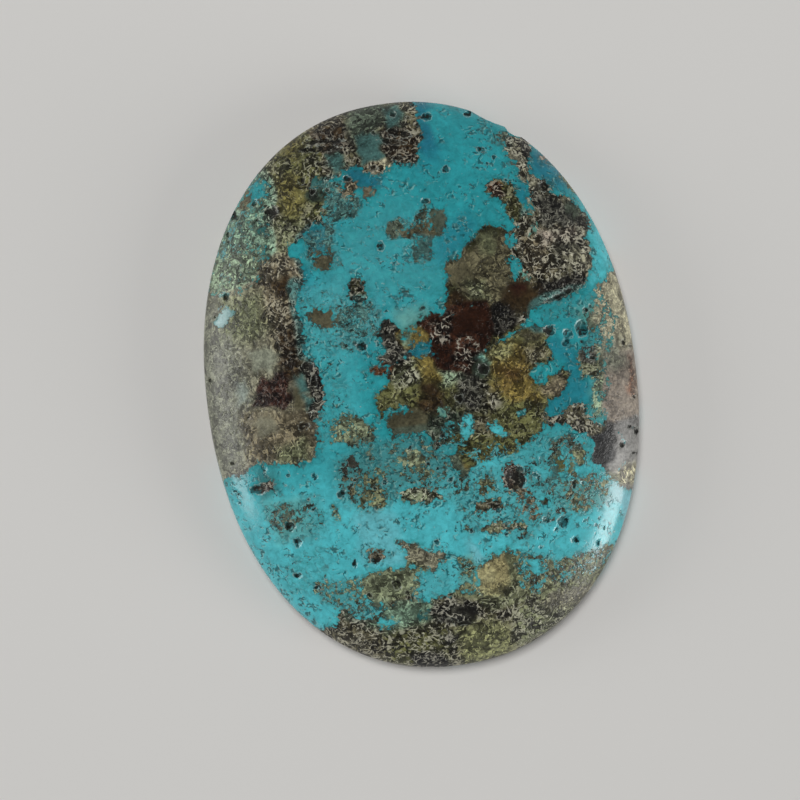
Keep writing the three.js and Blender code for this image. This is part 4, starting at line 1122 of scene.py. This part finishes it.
stone_mesh.vertices.foreach_set("co", points.ravel())
stone_mesh.transform(Matrix.Scale(MM, 4))
for name, values in [("rock_reach", reach), ("mingling", mingling), ("grain", grain), ("pit", pit)]:
    stone_mesh.attributes.new(name, "FLOAT", "POINT").data.foreach_set("value", values)
for name, values in [("rock_colour", rock_colour), ("blue_colour", blue_colour)]:
    solid = np.column_stack([values, np.ones(count)])
    stone_mesh.attributes.new(name, "FLOAT_COLOR", "POINT").data.foreach_set("color", solid.ravel())
stone_mesh.shade_smooth()
stone_mesh.set_sharp_from_angle(angle=SHARP_EDGE)
stone_mesh.update()
print("attributes:", [a.name for a in stone_mesh.attributes if a.name[0] != "."])

# %% [markdown]
# ## The finish of the stone
# Image textures could carry the pattern, but they would be the photograph again. Here everything is
# made from noise that is steered by the values on the vertices. Four effects are shader node
# groups, each built once and used on both the polished dome and the lapped back: the ragged
# border between the two stones, the body of the turquoise, the grain of the rock, and the inside
# of a hole. They work on the position in millimetres, so their scales can be read as cells per
# millimetre.

# %% A helper that adds and wires nodes
class Bench:
    """Adds and wires the nodes of one material or group."""

    def __init__(self, tree):
        self.tree = tree

    def add(self, kind, **settings):
        node = self.tree.nodes.new("ShaderNode" + kind)
        for key, value in settings.items():
            setattr(node, key, value)
        return node

    def put(self, socket, value):
        if isinstance(value, bpy.types.NodeSocket):
            self.tree.links.new(value, socket)
        else:
            socket.default_value = value

    def math(self, operation, first, second=0.0, third=0.0):
        node = self.add("Math", operation=operation)
        for socket, value in zip(node.inputs, (first, second, third)):
            self.put(socket, value)
        return node.outputs[0]

    def step(self, low, high, value, start=0.0, end=1.0):
        """A smooth change from start to end while the value goes from low to high."""
        node = self.add("MapRange", interpolation_type="SMOOTHSTEP")
        for socket, given in zip(node.inputs, (value, low, high, start, end)):
            self.put(socket, given)
        return node.outputs[0]

    def mix(self, share, first, second, blend_type="MIX"):
        node = self.add("Mix", data_type="RGBA", blend_type=blend_type)
        for index, value in ((0, share), (6, first), (7, second)):
            self.put(node.inputs[index], value)
        return node.outputs[2]

    def noise(self, place, scale, detail, roughness, distortion=0.0):
        node = self.add("TexNoise")
        self.put(node.inputs["Vector"], place)
        for key, value in (("Scale", scale), ("Detail", detail), ("Roughness", roughness),
                           ("Distortion", distortion)):
            node.inputs[key].default_value = value
        return node.outputs["Fac"]

    def swing(self, value, amount):
        """A value from 0 to 1, stretched to an amount and centred on 0."""
        return self.math("MULTIPLY_ADD", value, amount, -amount / 2)

    def scaled(self, vector, factor):
        """A vector stretched by one number or by three."""
        node = self.add("VectorMath", operation="MULTIPLY")
        self.put(node.inputs[0], vector)
        factors = factor if isinstance(factor, tuple) else (factor,) * 3
        self.put(node.inputs[1], factors)
        return node.outputs[0]


print("a bench can", [name for name in vars(Bench) if name[0] != "_"])

# %% A helper that starts a node group
def new_group(name, inputs, outputs):
    """An empty shader node group with named sockets, and the nodes that hold them."""
    group = bpy.data.node_groups.new(name, "ShaderNodeTree")
    for in_out, sockets in (("INPUT", inputs), ("OUTPUT", outputs)):
        for socket, kind in sockets.items():
            group.interface.new_socket(socket, in_out=in_out, socket_type="NodeSocket" + kind)
    entry = group.nodes.new("NodeGroupInput").outputs
    return group, Bench(group), entry, group.nodes.new("NodeGroupOutput").inputs


print("node groups so far:", len(bpy.data.node_groups))

# %% [markdown]
# ### The border between rock and turquoise
# The distance to the border is smooth, so a threshold alone would cut a soft, drawn line. Noise is
# added first: two sizes fray every border, and two more, as strong as the mingling says, scatter
# flecks and crumbs of each stone in the other. A dark seam runs along parts of it.

# %% Group: ragged border
FRAY = dict(scale=3.0, detail=2, roughness=0.55, distortion=0.7)
BAYS = dict(scale=1.35, detail=3, roughness=0.6, distortion=0.9)
FLECKS = dict(scale=1.3, detail=4, roughness=0.66, distortion=1.2)
STREWN_CRUMBS = dict(scale=3.7, detail=2, roughness=0.6, distortion=0.8)
FRAY_SWING = 0.9
BAY_SWING = 1.1
FLECK_SWING = 2.6
CRUMB_SWING = 2.2
REACH_LIMIT = 0.6
BORDER_BLUR = 0.12

border_group, bench, entry, leave = new_group(
    "ragged_border",
    {"Place": "Vector", "Reach": "Float", "Mingling": "Float"},
    {"Rock": "Float", "Seam": "Float", "Depth": "Float"},
)
place = entry["Place"]
near_reach = bench.math("MINIMUM", bench.math("MAXIMUM", entry["Reach"], -REACH_LIMIT), REACH_LIMIT)
fray = bench.swing(bench.noise(place, **FRAY), FRAY_SWING)
bays = bench.swing(bench.noise(place, **BAYS), BAY_SWING)
flecks = bench.swing(bench.noise(place, **FLECKS), FLECK_SWING)
crumbs = bench.swing(bench.noise(place, **STREWN_CRUMBS), CRUMB_SWING)
strewn = bench.math("MULTIPLY", bench.math("ADD", flecks, crumbs), entry["Mingling"])
depth = bench.math("ADD", bench.math("ADD", near_reach, fray), bench.math("ADD", bays, strewn))
bench.put(leave["Rock"], bench.step(-BORDER_BLUR, BORDER_BLUR, depth))
bench.put(leave["Depth"], depth)
print("ragged_border: the border is wired")

# %% Group: ragged border, its dark seam
SEAM = dict(scale=0.9, detail=3, roughness=0.6)
SEAM_WIDENS = (0.45, 0.62)
SEAM_WIDTHS = (0.05, 0.2)
SEAM_OUTER_EDGE = (-0.08, 0.02)
SEAM_CORE = 0.03
SEAM_BREAKS = (0.40, 0.52)

seam_noise = bench.noise(place, **SEAM)
seam_width = bench.step(*SEAM_WIDENS, seam_noise, *SEAM_WIDTHS)
inner_side = bench.step(seam_width, SEAM_CORE, depth)
seam = bench.math("MULTIPLY", bench.step(*SEAM_OUTER_EDGE, depth), inner_side)
bench.put(leave["Seam"], bench.math("MULTIPLY", seam, bench.step(*SEAM_BREAKS, seam_noise)))
print("ragged_border:", len(border_group.nodes), "nodes")

# %% [markdown]
# ### Curls
# Seen close, both stones are drawn over with short crooked ridges about a tenth of a millimetre
# wide, each pale with a dark hollow along one side. A noise passes its middle value along crooked
# lines, so the places near that value make the ridges. The same noise read a little to the side
# makes the hollows that follow them, and a broader noise breaks both into short lengths.

# %% Curls, as nodes for any group
CURL_SHIFT = (0.11, -0.10, 0.03)
FOLD = dict(detail=1, roughness=0.4, distortion=0.7)
FOLD_MIDDLE = 0.5
FOLD_CORE = 0.3
HOLLOW_WIDENING = 1.5
BREAKS = dict(detail=2, roughness=0.6)
BREAKS_FINER = 1.15
BREAKS_BELOW, BREAKS_ABOVE = 0.03, 0.05


def curls(bench, place, scale, width, sparseness):
    """Masks of pale ridges and of the dark hollows beside them."""
    def line(where, spread):
        fold = bench.math("SUBTRACT", bench.noise(where, scale, **FOLD), FOLD_MIDDLE)
        return bench.step(spread, spread * FOLD_CORE, bench.math("ABSOLUTE", fold))

    shifted = bench.add("VectorMath", operation="ADD")
    bench.put(shifted.inputs[0], place)
    bench.put(shifted.inputs[1], CURL_SHIFT)
    breaks = bench.noise(place, scale * BREAKS_FINER, **BREAKS)
    present = bench.step(sparseness - BREAKS_BELOW, sparseness + BREAKS_ABOVE, breaks)
    ridge = bench.math("MULTIPLY", line(place, width), present)
    hollow = bench.math("MULTIPLY", line(shifted.outputs[0], width * HOLLOW_WIDENING), present)
    return ridge, hollow


print("curls lie", CURL_SHIFT, "mm apart")

# %% [markdown]
# ### The body of the turquoise
# Polished turquoise is never one flat blue. It clouds between deeper and paler over a few
# millimetres, deepens close to the rock, where iron crept in, and greys where the two stones
# mingle. Scattered curls and clusters of dark teal specks lie over it.

# %% Group: turquoise body, its clouds and stains
CLOUDS = dict(scale=0.42, detail=4, roughness=0.6, distortion=0.6)
MOTTLE = dict(scale=1.9, detail=4, roughness=0.65, distortion=0.4)
CLOUD_SHARE = 0.6
MOTTLE_SHARE = 0.9
HAZE_BASE = 0.25
CREEP_REACH = 0.5
CREEP_SHARE = 0.75
CREEP_TINT = (0.50, 0.66, 0.62, 1)
MIXED_RANGE = (0.15, 0.8)
MIXED_SHARE = 0.4
MIXED_TINT = (0.10, 0.20, 0.18, 1)

body_group, bench, entry, leave = new_group(
    "turquoise_body",
    {"Place": "Vector", "Colour": "Color", "Depth": "Float", "Mingling": "Float"},
    {"Colour": "Color", "Specks": "Float"},
)
place = entry["Place"]
mottle = bench.math("MULTIPLY", bench.noise(place, **MOTTLE), MOTTLE_SHARE)
haze = bench.math("MULTIPLY_ADD", bench.noise(place, **CLOUDS), CLOUD_SHARE, mottle)
tinted = bench.mix(1.0, entry["Colour"], bench.math("ADD", haze, HAZE_BASE), "MULTIPLY")
creep = bench.math("MULTIPLY", bench.step(-CREEP_REACH, 0.0, entry["Depth"]), CREEP_SHARE)
tinted = bench.mix(creep, tinted, CREEP_TINT, "MULTIPLY")
mixed = bench.step(*MIXED_RANGE, entry["Mingling"])
tinted = bench.mix(bench.math("MULTIPLY", mixed, MIXED_SHARE), tinted, MIXED_TINT)
print("turquoise_body: clouds and stains are wired")

# %% Group: turquoise body, its curls and specks
CLUSTERS = dict(scale=0.75, detail=3, roughness=0.6)
CLUSTER_RANGE = (0.47, 0.60)
BODY_CURLS = dict(scale=1.9, width=0.072, sparseness=0.49)
RIDGE_IN_CLUSTERS, RIDGE_ANYWHERE = 0.5, 0.02
HOLLOW_IN_CLUSTERS, HOLLOW_ANYWHERE = 0.7, 0.15
RIDGE_TINT = (0.30, 0.52, 0.46, 1)
HOLLOW_TINT = (0.010, 0.09, 0.10, 1)
SPECKS = dict(scale=4.6, detail=3, roughness=0.6, distortion=0.5)
SPECK_RANGE = (0.59, 0.68)
SPECK_SHARE = 0.8
SPECK_TINT = (0.008, 0.05, 0.06, 1)

cluster = bench.math("MAXIMUM", bench.step(*CLUSTER_RANGE, bench.noise(place, **CLUSTERS)), mixed)
ridge, hollow = curls(bench, place, **BODY_CURLS)
ridge_share = bench.math("MULTIPLY_ADD", cluster, RIDGE_IN_CLUSTERS, RIDGE_ANYWHERE)
hollow_share = bench.math("MULTIPLY_ADD", cluster, HOLLOW_IN_CLUSTERS, HOLLOW_ANYWHERE)
hollow = bench.math("MULTIPLY", hollow, hollow_share)
tinted = bench.mix(bench.math("MULTIPLY", ridge, ridge_share), tinted, RIDGE_TINT)
tinted = bench.mix(hollow, tinted, HOLLOW_TINT)
specks = bench.step(*SPECK_RANGE, bench.noise(place, **SPECKS))
specks = bench.math("MULTIPLY", cluster, specks)
tinted = bench.mix(bench.math("MULTIPLY", specks, SPECK_SHARE), tinted, SPECK_TINT)
bench.put(leave["Colour"], tinted)
bench.put(leave["Specks"], bench.math("MAXIMUM", specks, hollow))
print("turquoise_body:", len(body_group.nodes), "nodes")

# %% [markdown]
# ### The grain of the rock
# The rock is packed from crooked grains a third of a millimetre across, some pale, some dark, with
# black gaps where they have parted. A Voronoi texture makes cells of that kind when its place is
# first pushed about by noise. Where the rock is dense the grain input is low, which keeps it
# smooth, like the flat grey patches.

# %% Group: grain of the rock, its packed grains
COARSE_RANGE = (0.05, 1.0)
PUSH_SCALE = 1.1
PUSH_DETAIL = 1.0
PUSH = (2.2, 2.2, 0.8)
CELL_SCALE = 1.9
PARTING_RANGE = (0.36, 0.60)
OPEN_RANGE = (0.30, 0.60)
TONE_RANGE = (0.1, 0.9)
TONES = (0.2, 1.9)

grain_group, bench, entry, leave = new_group(
    "grain_of_the_rock",
    {"Place": "Vector", "Colour": "Color", "Grain": "Float"},
    {"Colour": "Color", "Height": "Float"},
)
place = entry["Place"]
coarse = bench.step(*COARSE_RANGE, entry["Grain"])
push = bench.add("TexNoise")
bench.put(push.inputs["Vector"], place)
push.inputs["Scale"].default_value = PUSH_SCALE
push.inputs["Detail"].default_value = PUSH_DETAIL
pushed = bench.add("VectorMath", operation="MULTIPLY_ADD")
for socket, value in zip(pushed.inputs, (push.outputs["Color"], PUSH, place)):
    bench.put(socket, value)
cells = bench.add("TexVoronoi")
bench.put(cells.inputs["Vector"], pushed.outputs[0])
cells.inputs["Scale"].default_value = CELL_SCALE
tone = bench.add("SeparateXYZ")
bench.put(tone.inputs[0], cells.outputs["Color"])
parting = bench.step(*PARTING_RANGE, cells.outputs["Distance"])
open_gap = bench.step(*OPEN_RANGE, tone.outputs["Y"])
gaps = bench.math("MULTIPLY", bench.math("MULTIPLY", parting, open_gap), coarse)
cell_shade = bench.step(*TONE_RANGE, tone.outputs["X"], *TONES)
cell_shade = bench.math("MULTIPLY_ADD", bench.math("SUBTRACT", cell_shade, 1.0), coarse, 1.0)
print("grain_of_the_rock: packed grains are wired")

# %% [markdown]
# Curls run over the grains, and bolder ones where the rock is most crumbly. Fine crumbs, pale and
# dark, fill what lies between them. A ridge stands in front of the hollow beside it, so where the
# two masks meet the hollow gives way.

# %% Group: grain of the rock, its curls and crumbs
ROCK_CURLS = dict(scale=2.1, width=0.06, sparseness=0.52)
BOLD_RANGE = (0.75, 1.0)
BOLD_CURLS = dict(scale=1.35, width=0.06, sparseness=0.50)
BOLD_STRETCH = (-1.0, 1.1, 0.9)
CRUMBS = dict(scale=3.4, detail=3, roughness=0.55, distortion=0.4)
PALE_CRUMB_RANGE = (0.57, 0.66)
DARK_CRUMB_RANGE = (0.43, 0.35)
PALE_CRUMB_SHARE = 0.55
RIDGE_IN_FRONT = -0.7

ridge, hollow = curls(bench, place, **ROCK_CURLS)
bold = bench.step(*BOLD_RANGE, coarse)
bold_ridge, bold_hollow = curls(bench, bench.scaled(place, BOLD_STRETCH), **BOLD_CURLS)
ridge = bench.math("MULTIPLY", ridge, coarse)
ridge = bench.math("MAXIMUM", ridge, bench.math("MULTIPLY", bold_ridge, bold))
hollow = bench.math("MULTIPLY", hollow, coarse)
hollow = bench.math("MAXIMUM", hollow, bench.math("MULTIPLY", bold_hollow, bold))
crumbs = bench.noise(place, **CRUMBS)
pale_crumbs = bench.math("MULTIPLY", bench.step(*PALE_CRUMB_RANGE, crumbs), coarse)
dark_crumbs = bench.math("MULTIPLY", bench.step(*DARK_CRUMB_RANGE, crumbs), coarse)
ridge = bench.math("MAXIMUM", ridge, bench.math("MULTIPLY", pale_crumbs, PALE_CRUMB_SHARE))
hollow = bench.math("MAXIMUM", bench.math("MAXIMUM", gaps, dark_crumbs), hollow)
hollow = bench.math("MULTIPLY", hollow, bench.math("MULTIPLY_ADD", ridge, RIDGE_IN_FRONT, 1.0))
print("grain_of_the_rock: curls and crumbs are wired")

# %% Group: grain of the rock, its shades and its relief
GRIT = dict(scale=5.5, detail=3, roughness=0.65)
BROAD = dict(scale=0.8, detail=3, roughness=0.6)
GRIT_SWING = 2.2
BROAD_SWING = 2.4
DARKEST = 0.3
PALE = (4.4, 4.4, 4.2, 1)
CHALK = (0.66, 0.64, 0.52, 1)
CHALK_SHARE = 0.7
DARK = (0.07, 0.06, 0.05, 1)
RIDGE_SHARE = 0.85
HOLLOW_SHARE = 0.93
CURL_LIFT = 0.016
GRIT_LIFT = 0.005

grit = bench.swing(bench.noise(place, **GRIT), GRIT_SWING)
broad = bench.swing(bench.noise(place, **BROAD), BROAD_SWING)
shade = bench.math("ADD", bench.math("ADD", grit, broad), 1.0)
shade = bench.math("MULTIPLY", bench.math("MAXIMUM", shade, DARKEST), cell_shade)
shaded = bench.mix(1.0, entry["Colour"], shade, "MULTIPLY")
pale = bench.mix(1.0, entry["Colour"], PALE, "MULTIPLY")
chalk = bench.mix(bench.math("MULTIPLY", bold, CHALK_SHARE), pale, CHALK)
dark = bench.mix(1.0, entry["Colour"], DARK, "MULTIPLY")
shaded = bench.mix(bench.math("MULTIPLY", ridge, RIDGE_SHARE), shaded, chalk)
shaded = bench.mix(bench.math("MULTIPLY", hollow, HOLLOW_SHARE), shaded, dark)
bench.put(leave["Colour"], shaded)
lift = bench.math("MULTIPLY", bench.math("SUBTRACT", ridge, hollow), CURL_LIFT)
bench.put(leave["Height"], bench.math("MULTIPLY_ADD", grit, GRIT_LIFT, lift))
print("grain_of_the_rock:", len(grain_group.nodes), "nodes")

# %% [markdown]
# ### The lip and the bottom of a hole
# A hole is painted dark inside, partly for the dark stone in it and partly as painted shade, and
# its lip is painted pale, partly for crumbs of broken stone and partly as a painted highlight.
# Darkening it by its depth alone would leave every hole a neat ring, so noise makes the lip ragged,
# and the pale lip lies only in patches, where the bottom is a little lighter too.

# %% Group: lip and bottom of a hole
LIP = dict(scale=3.4, detail=3, roughness=0.6)
LIP_SWING = 2.0
LIP_RISES = (0.30, 0.50)
LIP_FALLS = (0.80, 0.55)
BOTTOM_RANGE = (0.62, 0.95)
PATCHES = dict(scale=2.6, detail=2, roughness=0.6)
PATCH_RANGE = (0.44, 0.58)
LIP_IN_PATCHES, LIP_ANYWHERE = 0.5, 0.05
BOTTOM_IN_PATCHES, BOTTOM_ANYWHERE = -0.3, 0.97

hole_group, bench, entry, leave = new_group(
    "lip_and_bottom_of_a_hole",
    {"Place": "Vector", "Pit": "Float"},
    {"Lip": "Float", "Bottom": "Float", "Hole": "Float"},
)
place = entry["Place"]
pit_depth = bench.math("ADD", entry["Pit"], bench.swing(bench.noise(place, **LIP), LIP_SWING))
lip = bench.math("MULTIPLY", bench.step(*LIP_RISES, pit_depth), bench.step(*LIP_FALLS, pit_depth))
hole = bench.step(*BOTTOM_RANGE, pit_depth)
patchy = bench.step(*PATCH_RANGE, bench.noise(place, **PATCHES))
lip_share = bench.math("MULTIPLY_ADD", patchy, LIP_IN_PATCHES, LIP_ANYWHERE)
bottom_share = bench.math("MULTIPLY_ADD", patchy, BOTTOM_IN_PATCHES, BOTTOM_ANYWHERE)
bench.put(leave["Lip"], bench.math("MULTIPLY", lip, lip_share))
bench.put(leave["Bottom"], bench.math("MULTIPLY", hole, bottom_share))
bench.put(leave["Hole"], hole)
print("lip_and_bottom_of_a_hole:", len(hole_group.nodes), "nodes")

# %% [markdown]
# ### Two finishes of one stone
# The dome is polished: glassy on the turquoise and duller on the rock, with the holes left rough.
# The back is only lapped flat on a wheel, so it is matte and paler with fine scratches. Both share
# the four groups, and differ in roughness, in the dust of the lapping and in the bump.

# %% Helpers that set values and groups into a material
def stored(bench, attribute, output="Fac"):
    """A value that was written to the vertices."""
    return bench.add("Attribute", attribute_name=attribute).outputs[output]


def placed(bench, group, **given):
    """A group set into a material, with its inputs wired."""
    node = bench.add("Group", node_tree=group)
    for socket, value in given.items():
        bench.put(node.inputs[socket], value)
    return node.outputs


print("groups:", [group.name for group in bpy.data.node_groups])

# %% Colours and relief that both finishes share
SEAM_SHARE = 0.7
SEAM_TINT = (0.025, 0.018, 0.012, 1)
# The pale lip of a hole is partly crumbs of stone and partly a painted highlight; its dark bottom
# is partly dark stone and partly painted shade.
LIP_CRUMB_AND_HIGHLIGHT_TINT = (0.42, 0.46, 0.40, 1)
BOTTOM_DARK_AND_SHADE_TINT = (0.014, 0.014, 0.012, 1)
SPECK_LIFT = -0.012


def bare_stone(bench, place):
    """The colour and height of the stone, and where it is rock or a hole."""
    mingling = stored(bench, "mingling")
    border = placed(bench, border_group, Place=place, Reach=stored(bench, "rock_reach"),
                    Mingling=mingling)
    body = placed(bench, body_group, Place=place, Colour=stored(bench, "blue_colour", "Color"),
                  Depth=border["Depth"], Mingling=mingling)
    rock = placed(bench, grain_group, Place=place, Colour=stored(bench, "rock_colour", "Color"),
                  Grain=stored(bench, "grain"))
    hole = placed(bench, hole_group, Place=place, Pit=stored(bench, "pit"))
    colour = bench.mix(border["Rock"], body["Colour"], rock["Colour"])
    colour = bench.mix(bench.math("MULTIPLY", border["Seam"], SEAM_SHARE), colour, SEAM_TINT)
    # Painted highlight with crumbs on the lips of the holes, and painted shade with dark stone in
    # their bottoms
    colour = bench.mix(hole["Lip"], colour, LIP_CRUMB_AND_HIGHLIGHT_TINT)
    colour = bench.mix(hole["Bottom"], colour, BOTTOM_DARK_AND_SHADE_TINT)
    height = bench.math("MULTIPLY", border["Rock"], rock["Height"])
    height = bench.math("MULTIPLY_ADD", body["Specks"], SPECK_LIFT, height)
    return colour, height, border["Rock"], hole["Hole"]


print("both finishes darken the holes to", BOTTOM_DARK_AND_SHADE_TINT[:3])

# %% Materials
STONE_IOR = 1.61
HOLE_ROUGHNESS = 0.8
DUST = dict(scale=0.8, detail=4, roughness=0.6)
DUST_TINT = (0.45, 0.47, 0.44, 1)
SCRATCHES = dict(scale=1.0, detail=3, roughness=0.6)
SCRATCH_STRETCH = (0.25, 9.0, 1.0)
SCRATCH_LIFT = 0.02


def stone_material(name, turquoise_roughness, rock_roughness, lapping_dust):
    """A finish of the stone, from the four groups and the values on the vertices."""
    paint = bpy.data.materials.new(name)
    paint.use_nodes = True
    bench = Bench(paint.node_tree)
    place = bench.scaled(bench.add("TexCoord").outputs["Object"], 1 / MM)
    colour, height, rock, hole = bare_stone(bench, place)
    roughness = bench.step(0.0, 1.0, rock, turquoise_roughness, rock_roughness)
    roughness = bench.math("MAXIMUM", roughness, bench.math("MULTIPLY", hole, HOLE_ROUGHNESS))
    if lapping_dust:
        dust = bench.math("MULTIPLY", bench.noise(place, **DUST), lapping_dust)
        colour = bench.mix(dust, colour, DUST_TINT)
        scratches = bench.noise(bench.scaled(place, SCRATCH_STRETCH), **SCRATCHES)
        height = bench.math("MULTIPLY_ADD", scratches, SCRATCH_LIFT, height)
    bump = bench.add("Bump")
    bump.inputs["Distance"].default_value = MM
    bump.inputs["Strength"].default_value = 1.0
    bench.put(bump.inputs["Height"], height)
    shader = paint.node_tree.nodes["Principled BSDF"]
    bench.put(shader.inputs["Base Color"], colour)
    bench.put(shader.inputs["Roughness"], roughness)
    bench.put(shader.inputs["Normal"], bump.outputs["Normal"])
    shader.inputs["IOR"].default_value = STONE_IOR
    print(f"{name}: {len(paint.node_tree.nodes)} nodes")
    return paint


polished = stone_material(
    "polished_turquoise", turquoise_roughness=0.2, rock_roughness=0.33, lapping_dust=0.0
)
lapped = stone_material(
    "lapped_turquoise", turquoise_roughness=0.62, rock_roughness=0.78, lapping_dust=0.5
)

# %% [markdown]
# ## Putting the stone in its place
# The finished mesh replaces the plain CAD solid for the eye, while the solid stays for collisions.
# Faces of the flat back and its bevel get the lapped finish, and everything above is polished.

# %% The piece
stone = bpy.data.objects.new("turquoise_stone", stone_mesh)
bpy.context.scene.collection.objects.link(stone)
stone_mesh.materials.append(polished)
stone_mesh.materials.append(lapped)
for face in stone_mesh.polygons:
    face.material_index = 1 if face.center.z < BEVEL_HEIGHT * MM else 0

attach(stone, "root")
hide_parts("turquoise_cabochon")
stone_mesh.calc_loop_triangles()
print(f"turquoise_stone: {len(stone_mesh.loop_triangles)} triangles")
